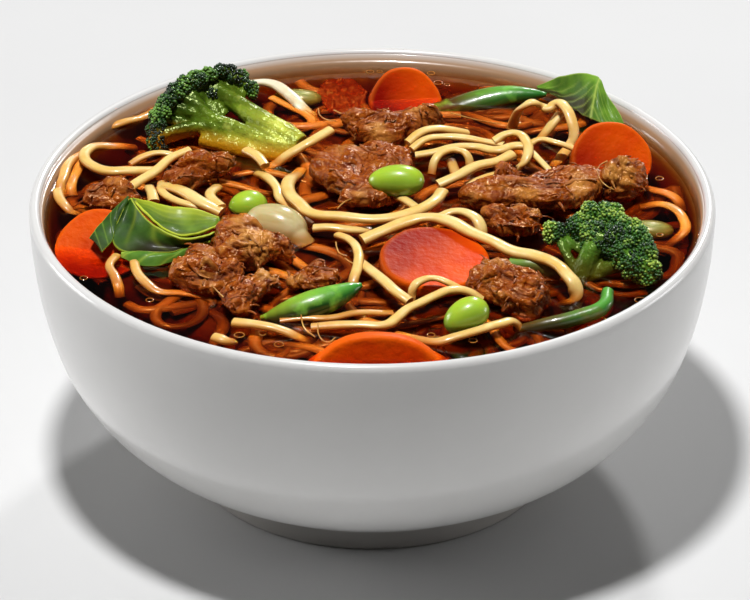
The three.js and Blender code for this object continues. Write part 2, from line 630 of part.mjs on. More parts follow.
const LEAVES = {
  leaf_behind: {
    edges: [
      [[-60, -9.4, 9.5], [-63.3, -11.6, 7.2], [-66.9, -15.6, 4.8], [-69.2, -19.4, 3]],
      [[-60.2, -10.8, 9], [-62.6, -15, 6], [-63.6, -20.2, 3.2], [-66, -24.4, 2]],
    ],
    arch: (u) => [0, 0, 0.5 * Math.sin(Math.PI * u)],
    across: 2, along: 5,
  },
  leaf_folded: {
    edges: [
      [[-60, -10, 9.3], [-62.4, -14.8, 6], [-63.7, -19.4, 3.2], [-61.6, -23.4, 2], [-55, -24.6, 2],
        [-48.6, -24.2, 2], [-43, -20.8, 2], [-39.8, -18.6, 2]],
      [[-59.4, -9.8, 9.4], [-57.6, -13.6, 8.4], [-55, -18, 7.4], [-51.4, -21, 6.6], [-47.6, -22.9, 5.7],
        [-44, -22.6, 5], [-41, -19.6, 4.2], [-38.8, -16, 3.4]],
    ],
    arch: (u, v) => [0, 1.6 * Math.sin(Math.PI * u) * Math.sin(Math.PI * v), -0.8 * Math.sin(Math.PI * u)],
    across: 4, along: 8,
  },
  leaf_light: {
    edges: [
      [[-59.3, -3.5, 6], [-55.9, -5.4, 6.4], [-50.8, -8, 6.4], [-46.7, -8.6, 6], [-42.7, -8.6, 5.4],
        [-37.8, -9.8, 4]],
      [[-58.5, -5.5, 6], [-55.6, -12, 6.4], [-51.2, -19.6, 6.4], [-46.2, -22, 5.6], [-41.6, -18.4, 4.6],
        [-37.8, -12.6, 3.6]],
    ],
    arch: (u, v) => [0, 0, -3 * Math.sin(Math.PI * u) * Math.sqrt(Math.sin(Math.PI * v))],
    across: 4, along: 6,
  },
  leaf_low: {
    edges: [
      [[-61.2, -24, 1.6], [-58.8, -24.6, 2.2], [-55.1, -25.8, 2.6], [-50, -26.4, 2.6], [-44.3, -22.8, 2.2]],
      [[-61.2, -24.8, 1], [-58.6, -27, 0.8], [-55, -29.2, 0.8], [-50, -28, 0.9], [-44.7, -24.4, 1.4]],
    ],
    arch: (u) => [0, 0, 0.7 * Math.sin(Math.PI * u)],
    across: 2, along: 6,
  },
  leaf_right: {
    edges: [
      [[43.1, 66.4, 2], [46.7, 64.9, 4.5], [49.9, 62.5, 7], [54.1, 60, 9], [57, 58.1, 9.4],
        [58.8, 56.5, 9.4], [59.8, 54.2, 7.5], [61, 52.2, 6.2], [62.6, 49.5, 4.8], [64, 47.2, 3.2],
        [64.8, 44.8, 2]],
      [[43.4, 65.4, 1.6], [47, 62.6, 1.2], [50.4, 59, 1], [52.8, 55, 1], [54.8, 51.2, 1.2],
        [56.5, 47.5, 2.2], [58.7, 45.6, 2.2], [60.4, 45, 2], [61.8, 44.8, 2], [63.2, 44.6, 1.8],
        [64.4, 44, 1.4]],
    ],
    arch: (u, v) => {
      const ridge = 1.2 * Math.sin(Math.PI * v) ** 8;
      const dips = 0.9 * Math.sin(Math.PI * 2 * v) ** 2;
      return [0, 0, (ridge - dips) * Math.sin(Math.PI * u)];
    },
    across: 3, along: 10,
  },
};

// ---- putting the bowl together ------------------------------------------------------------

const COLOURS = {
  bowl: { color: 0xe6e5e3, roughness: 0.28 },
  broth: { color: 0x9a4416, roughness: 0.12 },
  noodles: { color: 0xf0d48c, roughness: 0.45 },
  beef: { color: 0x8c5229, roughness: 0.4 },
  carrot: { color: 0xee6426, roughness: 0.4 },
  broccoli: { color: 0x4f8a30, roughness: 0.55 },
  soybean: { color: 0xa4cc3c, roughness: 0.3 },
  pod: { color: 0x4f9a30, roughness: 0.35 },
  stalk: { color: 0x5a8f33, roughness: 0.4 },
  leaf: { color: 0x4d7a2c, roughness: 0.45 },
  bulb: { color: 0xf1e6c8, roughness: 0.4 },
  sprout: { color: 0xf0e2bc, roughness: 0.4 },
};

function materialFor(name) {
  const key = Object.keys(COLOURS).find((kind) => name.startsWith(kind));
  return new THREE.MeshStandardMaterial({ name: key, metalness: 0, ...COLOURS[key] });
}

/** Every shape of a table made into [name, [solid]]. */
function made(table, make) {
  return Object.entries(table).map(([name, shape]) => [name, [make(shape)]]);
}

// Each topping as [name, the simple solids it is joined from], the lowest priority first:
// each is cut clear of those after it.
const wholeToppings = [
  ...made(CARROTS, carrot),
  ['broccoli_left', broccoliLeft()],
  ['broccoli_right', broccoliRight()],
  ...made(BEEF, beef),
  ['bulb', bulb()],
  ['pod_back', [podBack()]],
  ['pod_front', [podFront()]],
  ['stalk_corner', [stalk()]],
  ['stalk_end', [stalkEnd()]],
  ['sprout', [sprout()]],
  ...made(LEAVES, leaf),
  ...made(BEANS, bean),
];

const core = coreHeap(0);
const coreClearance = coreHeap(GAP);

/** Toppings cut clear of the heap, of the wall and of the pieces that lie over them. */
function fittedToppings() {
  let above = null;
  const fitted = [];
  for (const [name, parts] of wholeToppings.slice().reverse()) {
    let piece = joined(parts).intersect(CAVITY).subtract(coreClearance);
    if (above) piece = piece.subtract(above);
    const room = joined(parts.map((part) => grown(part)));
    above = above ? above.add(room) : room;
    fitted.push([name, largest(piece)]);
  }
  return { toppings: fitted, clearance: above };
}

const { toppings, clearance } = fittedToppings();

function noodles() {
  const aboveBroth = turned([
    [0, BROTH_LEVEL + GAP], [RIM_RADIUS, BROTH_LEVEL + GAP], [RIM_RADIUS, BROTH_LEVEL + FREEBOARD],
    [0, BROTH_LEVEL + FREEBOARD],
  ]);
  const shown = STRANDS.map(([width, ...route]) => strand(width, route).intersect(aboveBroth));
  return largest(joined(shown).subtract(clearance).intersect(CAVITY).add(core));
}

function broth() {
  const full = filling(BROTH_LEVEL - BROTH_DEPTH + GAP, BROTH_LEVEL);
  return largest(full.subtract(coreClearance).subtract(clearance));
}

const group = new THREE.Group();

function place(name, body) {
  const mesh = new THREE.Mesh(faces(body), materialFor(name));
  mesh.name = name;
  group.add(mesh);
}

place('bowl', bowl());
place('broth', broth());
place('noodles', noodles());
toppings.reverse().forEach(([name, piece]) => place(name, piece));

export default group;
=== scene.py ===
"""A white stoneware bowl of beef noodle soup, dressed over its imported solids.

Metres, +Z up, -Y the front. The origin is the centre of the foot ring's underside.
"""

import json
import math
import random

import bpy
import numpy as np
from mathutils import Euler, Matrix, Vector, noise

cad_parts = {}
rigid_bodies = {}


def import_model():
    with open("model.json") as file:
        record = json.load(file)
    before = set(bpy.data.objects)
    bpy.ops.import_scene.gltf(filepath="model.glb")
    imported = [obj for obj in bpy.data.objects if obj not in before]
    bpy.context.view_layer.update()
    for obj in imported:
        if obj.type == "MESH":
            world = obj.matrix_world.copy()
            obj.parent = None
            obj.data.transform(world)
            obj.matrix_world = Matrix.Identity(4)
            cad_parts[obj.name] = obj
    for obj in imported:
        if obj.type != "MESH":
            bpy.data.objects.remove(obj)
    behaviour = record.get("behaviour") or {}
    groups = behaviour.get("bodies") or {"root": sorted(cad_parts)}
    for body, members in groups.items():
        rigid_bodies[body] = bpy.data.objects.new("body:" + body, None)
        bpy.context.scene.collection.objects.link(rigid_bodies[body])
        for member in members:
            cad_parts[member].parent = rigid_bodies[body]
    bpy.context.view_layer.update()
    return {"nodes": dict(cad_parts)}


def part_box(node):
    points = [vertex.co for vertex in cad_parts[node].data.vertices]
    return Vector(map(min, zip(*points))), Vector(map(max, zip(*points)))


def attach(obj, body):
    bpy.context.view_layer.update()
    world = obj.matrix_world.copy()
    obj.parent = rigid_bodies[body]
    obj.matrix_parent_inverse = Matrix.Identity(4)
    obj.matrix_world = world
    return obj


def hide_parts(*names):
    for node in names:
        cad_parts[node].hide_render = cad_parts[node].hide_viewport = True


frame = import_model()

# ---- the view ------------------------------------------------------------------------------
# The bowl is seen from the front and from well above its rim, through a long lens.

VIEW_PLACE = (0.0007, -1.00428, 0.60581)
VIEW_TILT = math.radians(60.843)
VIEW_LENS = 219.17

bpy.ops.object.select_all(action="DESELECT")
bpy.ops.object.camera_add(location=VIEW_PLACE, rotation=(VIEW_TILT, 0, 0))
camera = bpy.context.object
camera.data.lens = VIEW_LENS
camera.data.sensor_width = 36
camera.data.clip_start = 0.05
bpy.context.scene.camera = camera

# ---- the light -----------------------------------------------------------------------------
# Two wide soft lights stand low beside the bowl, a little behind it, so its front is in shade.
# Two small ones, over the food and far behind it, draw the sharp glints on what is wet.

LIGHTS = {
    "light_left": {"place": (-1.2, 0.38, 0.22), "size": 0.6, "power": 6},
    "light_right": {"place": (1.2, 0.22, 0.1), "size": 0.5, "power": 4},
    "light_top": {"place": (-0.12, -0.16, 1.35), "size": 0.14, "power": 18},
    "light_back": {"place": (0.25, 1.0, 0.68), "size": 0.12, "power": 5},
}
SKY_COLOUR = (1.0, 0.98, 0.95, 1)
SKY_STRENGTH = 0.03

for light_name, light in LIGHTS.items():
    place = Vector(light["place"])
    turn = (-place).to_track_quat("-Z", "Y").to_euler()
    bpy.ops.object.light_add(type="AREA", location=place, rotation=turn)
    lamp = bpy.context.object
    lamp.name = light_name
    lamp.data.shape = "DISK"
    lamp.data.size = light["size"]
    lamp.data.energy = light["power"]

scene = bpy.context.scene
if scene.world is None:
    scene.world = bpy.data.worlds.new("sky")
scene.world.use_nodes = True
sky = scene.world.node_tree.nodes["Background"]
sky.inputs["Color"].default_value = SKY_COLOUR
sky.inputs["Strength"].default_value = SKY_STRENGTH
scene.view_settings.view_transform = "Standard"

# ---- the floor -----------------------------------------------------------------------------
# A wide matt sheet of pale grey card that the bowl stands on. It is flat and only just
# uneven in tone.

FLOOR_SIZE = 8


def add_node(tree, kind, inputs=None, **settings):
    """A shader node with its settings, and its inputs joined to sockets or set to values."""
    node = tree.nodes.new(kind)
    for key, value in settings.items():
        setattr(node, key, value)
    for key, value in (inputs or {}).items():
        if isinstance(value, bpy.types.NodeSocket):
            tree.links.new(value, node.inputs[key])
        else:
            node.inputs[key].default_value = value
    return node


def new_finish(name, **values):
    """A material: its node tree and its surface shader with plain values set on its sockets."""
    finish = bpy.data.materials.new(name)
    finish.use_nodes = True
    shader = finish.node_tree.nodes["Principled BSDF"]
    for key, value in values.items():
        shader.inputs[key.replace("_", " ").title().replace("Ior", "IOR")].default_value = value
    return finish, finish.node_tree, shader


def tint(red, green, blue):
    """A colour given as 0 to 255 on a screen, as linear light."""
    return tuple((share / 255) ** 2.2 for share in (red, green, blue)) + (1,)


def group_named(name, inputs, outputs):
    """An empty node group with sockets of the given kinds, and its two end nodes."""
    tree = bpy.data.node_groups.new(name, "ShaderNodeTree")
    for socket, (kind, value) in inputs.items():
        made = tree.interface.new_socket(socket, in_out="INPUT", socket_type=kind)
        made.default_value = value
    for socket, kind in outputs.items():
        tree.interface.new_socket(socket, in_out="OUTPUT", socket_type=kind)
    start = tree.nodes.new("NodeGroupInput").outputs
    end = tree.nodes.new("NodeGroupOutput").inputs
    return tree, start, end


def ranged(tree, value, low, high, start=0.0, end=1.0, **settings):
    """Goes from start to end as the value goes from low to high."""
    node = add_node(
        tree, "ShaderNodeMapRange",
        {"Value": value, "From Min": low, "From Max": high, "To Min": start, "To Max": end}, **settings)
    return node.outputs["Result"]


def place_in(tree):
    """Where a point of the surface lies, in metres."""
    return add_node(tree, "ShaderNodeTexCoord").outputs["Object"]


def mottle_group():
    """Soft uneven patches of a given size, as a mask from 0 to 1."""
    tree, start, end = group_named(
        "mottle",
        {
            "Scale": ("NodeSocketFloat", 100.0),
            "Low": ("NodeSocketFloat", 0.35),
            "High": ("NodeSocketFloat", 0.65),
        },
        {"Mask": "NodeSocketFloat"},
    )
    patches = add_node(
        tree, "ShaderNodeTexNoise", {"Vector": place_in(tree), "Scale": start["Scale"], "Detail": 4.0})
    tree.links.new(ranged(tree, patches.outputs["Fac"], start["Low"], start["High"]), end["Mask"])
    return tree


def relief_group():
    """Fine bumps of a given size and height, as a normal."""
    tree, start, end = group_named(
        "fine_relief",
        {
            "Scale": ("NodeSocketFloat", 500.0),
            "Height": ("NodeSocketFloat", 0.0002),
            "Strength": ("NodeSocketFloat", 0.5),
        },
        {"Normal": "NodeSocketVector"},
    )
    grain = add_node(
        tree, "ShaderNodeTexNoise", {"Vector": place_in(tree), "Scale": start["Scale"], "Detail": 3.0})
    bump = add_node(
        tree, "ShaderNodeBump",
        {"Height": grain.outputs["Fac"], "Distance": start["Height"], "Strength": start["Strength"]},
    )
    tree.links.new(bump.outputs["Normal"], end["Normal"])
    return tree


MOTTLE = mottle_group()
RELIEF = relief_group()


def add_group(tree, group, **inputs):
    """One of the shared effects placed in a material; gives its only output."""
    node = add_node(tree, "ShaderNodeGroup", node_tree=group)
    for key, value in inputs.items():
        node.inputs[key].default_value = value
    return node.outputs[0]


def blend(tree, mask, first, second):
    """A colour that goes from first to second as the mask goes from 0 to 1."""
    node = add_node(tree, "ShaderNodeMix", data_type="RGBA")
    tree.links.new(mask, node.inputs["Factor"])
    for socket, colour in ((node.inputs[6], first), (node.inputs[7], second)):
        if isinstance(colour, bpy.types.NodeSocket):
            tree.links.new(colour, socket)
        else:
            socket.default_value = colour
    return node.outputs[2]


def dress(tree, shader, colour, relief=None):
    """Gives a surface its colour and its fine relief, which is a size, a height and a strength."""
    tree.links.new(colour, shader.inputs["Base Color"])
    if relief:
        scale, height, strength = relief
        bumps = add_group(tree, RELIEF, Scale=scale, Height=height, Strength=strength)
        tree.links.new(bumps, shader.inputs["Normal"])


def begun(name, primitive, **settings):
    """A piece at its start: one plain shape, still to be worked on."""
    bpy.ops.object.select_all(action="DESELECT")
    primitive(**settings)
    piece = bpy.context.object
    piece.name = name
    return piece


floor = begun("floor", bpy.ops.mesh.primitive_plane_add, size=FLOOR_SIZE)
finish, tree, shader = new_finish("floor_finish", roughness=0.7)
dress(tree, shader, blend(
    tree, add_group(tree, MOTTLE, Scale=6.0), tint(214, 214, 214), tint(210, 210, 210)))
floor.data.materials.append(finish)

# ---- the bowl ------------------------------------------------------------------------------
# Stoneware thrown as one round wall on a turned foot ring, with a rounded lip, dipped in a
# smooth white glaze that is thin and greyer on the foot; that grey is also painted shade. The
# broth has stained it at its level, and that tan is also painted shade and painted reflection.

MM = 0.001
RIM_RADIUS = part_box("bowl")[1][0] / MM
RIM_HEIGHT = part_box("bowl")[1][2] / MM
BROTH_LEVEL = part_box("broth")[1][2] / MM
FOOT_RADIUS = 46
FOOT_HEIGHT = 6.4
WALL_TOP = RIM_HEIGHT - 1.6
BOWL_SEGMENTS = 144
STAIN_SHADE_RADIUS = 82.6
STAIN_SHADE_HEIGHT = 4.8
STAIN_SHADE_FULL = 2

OUTER_WALL = [
    (FOOT_RADIUS + 1.4, FOOT_HEIGHT), (56.5, 12), (65, 18), (72.6, 26), (78.5, 36), (82.3, 48),
    (84.4, 60), (RIM_RADIUS - 0.1, RIM_HEIGHT - 5), (RIM_RADIUS, WALL_TOP),
]
INNER_WALL = [
    (2, 8), (30, 9), (46, 13.2), (58, 20.5), (67, 29), (73.6, 38.5), (78, 50), (80.4, 61),
    (RIM_RADIUS - 3.8, BROTH_LEVEL), (RIM_RADIUS - 2.9, WALL_TOP + 0.3),
]


def between(stops, i, share):
    """The point part of the way from stop i to the next, on a smooth line through all the stops."""
    before, start, end, after = stops[i - 1:i + 3]
    return 0.5 * (
        2 * start + (end - before) * share + (2 * before - 5 * start + 4 * end - after) * share ** 2
        + (3 * start - before - 3 * end + after) * share ** 3
    )


def smooth_line(points, count):
    """Evenly spaced points on a smooth line through the given ones, of any dimension."""
    stops = np.array([points[0], *points, points[-1]], float)
    fine = []
    for i in range(1, len(stops) - 2):
        fine += [between(stops, i, share) for share in np.linspace(0, 1, 12, endpoint=False)]
    fine.append(stops[-1])
    fine = np.array(fine)
    lengths = np.concatenate([[0], np.cumsum(np.linalg.norm(np.diff(fine, axis=0), axis=1))])
    even = np.linspace(0, lengths[-1], count)
    return np.column_stack([np.interp(even, lengths, fine[:, axis]) for axis in range(fine.shape[1])])


def turned(name, profile, segments):
    """A closed round body: a ring drawn up and out along its profile of (radius, height) in mm."""
    (radius, height), *others = profile
    piece = begun(
        name, bpy.ops.mesh.primitive_circle_add, vertices=segments, radius=radius * MM,
        location=(0, 0, height * MM), fill_type="TRIFAN")
    bpy.ops.object.transform_apply(location=True)
    bpy.ops.object.mode_set(mode="EDIT")
    bpy.ops.mesh.select_all(action="DESELECT")
    bpy.ops.mesh.select_non_manifold(extend=False, use_wire=False, use_multi_face=False)
    for next_radius, next_height in others:
        share = next_radius / radius
        bpy.ops.mesh.extrude_edges_move(
            TRANSFORM_OT_translate={"value": (0, 0, (next_height - height) * MM)})
        bpy.ops.transform.resize(value=(share, share, 1), center_override=(0, 0, 0))
        radius, height = next_radius, next_height
    bpy.ops.mesh.edge_face_add()
    bpy.ops.mesh.poke()
    bpy.ops.mesh.select_all(action="SELECT")
    bpy.ops.mesh.normals_make_consistent(inside=False)
    bpy.ops.object.mode_set(mode="OBJECT")
    bpy.ops.object.shade_smooth()
    return piece


def kept(piece, slot, *nodes):
    """The finished piece rides on the part and stands for its nodes; its slot is not used."""
    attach(piece, "root")
    if nodes:
        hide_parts(*nodes)
    return piece


def math_of(tree, operation, first, second):
    """What an operation makes of two numbers or sockets."""
    return add_node(tree, "ShaderNodeMath", {0: first, 1: second}, operation=operation).outputs[0]


lip_inside, lip_low = INNER_WALL[-1]
lip_middle = (RIM_RADIUS + lip_inside) / 2
lip_half = (RIM_RADIUS - lip_inside) / 2
lip = [
    (lip_middle + lip_half * math.cos(angle), WALL_TOP + (RIM_HEIGHT - WALL_TOP) * math.sin(angle))
    for angle in np.linspace(0.15, math.pi - 0.15, 11)
]
foot = [
    (3, 2.6), (30, 2.6), (FOOT_RADIUS - 5.6, 2.5), (FOOT_RADIUS - 4.8, 1.9), (FOOT_RADIUS - 4.3, 0.5),
    (FOOT_RADIUS - 3.8, 0), (FOOT_RADIUS - 0.8, 0), (FOOT_RADIUS - 0.2, 0.3), (FOOT_RADIUS, 1),
    (FOOT_RADIUS, FOOT_HEIGHT - 1.2), (FOOT_RADIUS + 0.3, FOOT_HEIGHT - 0.4),
]
bowl_profile = [
    *foot, *map(tuple, smooth_line(OUTER_WALL, 34)), *lip, *map(tuple, smooth_line(INNER_WALL[::-1], 36)),
]
bowl = turned("stoneware_bowl", bowl_profile, BOWL_SEGMENTS)

finish, tree, shader = new_finish(
    "white_glaze", roughness=0.3, coat_weight=0.5, coat_roughness=0.08, specular_ior_level=0.4)
glaze = blend(tree, add_group(tree, MOTTLE, Scale=22.0), tint(225, 224, 222), tint(219, 218, 216))
place = add_node(tree, "ShaderNodeSeparateXYZ", {"Vector": place_in(tree)}).outputs
# Painted shade: below the foot ring's top the glaze turns grey, partly thin glaze and partly shade.
bare_shaded_foot = ranged(tree, place["Z"], (FOOT_HEIGHT + 0.5) * MM, (FOOT_HEIGHT - 1.5) * MM)
with_foot = blend(tree, bare_shaded_foot, glaze, tint(176, 172, 167))
flat = add_node(tree, "ShaderNodeCombineXYZ", {"X": place["X"], "Y": place["Y"]})
radius = add_node(tree, "ShaderNodeVectorMath", {0: flat.outputs["Vector"]}, operation="LENGTH")
# Painted shade and painted reflection: a tan band on the inner wall just above the broth, partly a real
# stain.
inside = math_of(tree, "LESS_THAN", radius.outputs["Value"], STAIN_SHADE_RADIUS * MM)
above = math_of(tree, "GREATER_THAN", place["Z"], (BROTH_LEVEL - 3) * MM)
stain_and_shade_rise = ranged(
    tree, place["Z"], (BROTH_LEVEL + STAIN_SHADE_HEIGHT) * MM, (BROTH_LEVEL + STAIN_SHADE_FULL) * MM, end=0.9)
stain_and_shade = math_of(tree, "MULTIPLY", math_of(tree, "MULTIPLY", inside, above), stain_and_shade_rise)
dress(tree, shader, blend(tree, stain_and_shade, with_foot, tint(152, 108, 62)), (140.0, 0.0003, 0.12))
bowl.data.materials.append(finish)
kept(bowl, "bowl", "bowl")

# ---- the broth -----------------------------------------------------------------------------
# Clear amber-brown stock. It fills the bowl to its level, climbs a little at the wall, and
# takes green and blue out of the light, so it is gold where shallow and deep red further down.

BROTH_DEPTH = 25
WALL_OVERLAP = 0.3
MENISCUS = 0.45
BROTH_SEGMENTS = 128

inner_line = smooth_line(INNER_WALL, 60)


def wall_radius(height):
    """The inner wall's radius at a height in mm."""
    return float(np.interp(height, inner_line[:, 1], inner_line[:, 0]))


edge_radius = wall_radius(BROTH_LEVEL)
broth_side = [
    (wall_radius(height) + WALL_OVERLAP, height)
    for height in np.linspace(BROTH_LEVEL - BROTH_DEPTH, BROTH_LEVEL - 1, 10)
]
broth_top = [
    (edge_radius + WALL_OVERLAP, BROTH_LEVEL + MENISCUS), (edge_radius - 0.3, BROTH_LEVEL + MENISCUS * 0.6),
    (edge_radius - 0.8, BROTH_LEVEL + MENISCUS * 0.2), (edge_radius - 1.8, BROTH_LEVEL),
    (edge_radius * 0.75, BROTH_LEVEL), (edge_radius * 0.5, BROTH_LEVEL), (edge_radius * 0.25, BROTH_LEVEL),
    (3, BROTH_LEVEL),
]
broth = turned("broth_stock", [*broth_side, *broth_top], BROTH_SEGMENTS)

finish, tree, shader = new_finish(
    "clear_stock", base_color=(1, 1, 1, 1), roughness=0.03, ior=1.33, transmission_weight=1.0)
tree.links.new(
    add_group(tree, RELIEF, Scale=90.0, Height=0.0008, Strength=0.25), shader.inputs["Normal"])
light_path = add_node(tree, "ShaderNodeLightPath")
open_way = add_node(tree, "ShaderNodeBsdfTransparent")
through = add_node(
    tree, "ShaderNodeMixShader",
    {0: light_path.outputs["Is Shadow Ray"], 1: shader.outputs["BSDF"], 2: open_way.outputs["BSDF"]})
stain = add_node(tree, "ShaderNodeVolumeAbsorption", {"Color": (0.88, 0.58, 0.05, 1), "Density": 430.0})
output = tree.nodes["Material Output"]
tree.links.new(through.outputs["Shader"], output.inputs["Surface"])
tree.links.new(stain.outputs["Volume"], output.inputs["Volume"])
broth.data.materials.append(finish)
kept(broth, "broth", "broth")

# ---- the noodle heap under the broth -------------------------------------------------------
# The noodles packed in the bottom of the bowl: an uneven bed of boiled dough, coloured near
# black-brown as painted shade, full to the wall low down and heaped to a mound higher up.

BED_TOP = BROTH_LEVEL - 6.5
BED_EDGE = BROTH_LEVEL - BROTH_DEPTH + 2

bed_profile = [
    (3, BED_EDGE - 4), (wall_radius(BED_EDGE - 4) + WALL_OVERLAP, BED_EDGE - 4),
    (wall_radius(BED_EDGE) + WALL_OVERLAP, BED_EDGE), (72, BED_EDGE + 1), (71.5, BED_TOP - 6),
    (68.5, BED_TOP - 3), (64, BED_TOP - 0.8), *[(radius, BED_TOP) for radius in range(60, 2, -3)],
]
bed = turned("noodle_bed", bed_profile, 96)
for vertex in bed.data.vertices:
    if vertex.co.z > BED_EDGE * MM:
        vertex.co.z += MM * (2.5 * noise.noise(vertex.co * 120) + 1.5 * noise.noise(vertex.co * 300))
# Painted shade: the packed heap is coloured dark brown for the shade deep among the noodles.
finish, tree, shader = new_finish("packed_noodles", roughness=0.6)
dress(tree, shader, blend(
    tree, add_group(tree, MOTTLE, Scale=180.0), tint(58, 30, 14), tint(112, 66, 30)))
bed.data.materials.append(finish)
kept(bed, "noodles", "noodles")

# ---- the noodles ---------------------------------------------------------------------------
# Wheat noodles cut flat and boiled soft. Those on top are laid one by one; those below the
# surface curl every way through the heap. Pale cream where dry, golden where the broth wets
# them. Their sides are painted darker gold as shade, and under the broth they are painted
# dark brown as shade.

NOODLE_FLATNESS = 0.6
SUNKEN_FLATNESS = 0.7
HEAP_RADIUS = 68
SUNKEN_COUNT = 115
SUNKEN_STEPS = 15
SUNKEN_STRIDE = 5.2
SUNKEN_FLOOR = -8.8
SUNKEN_RISE = 6
SUNKEN_HALVES = (1.2, 1.8)
WIDTH_SWAY = 0.1

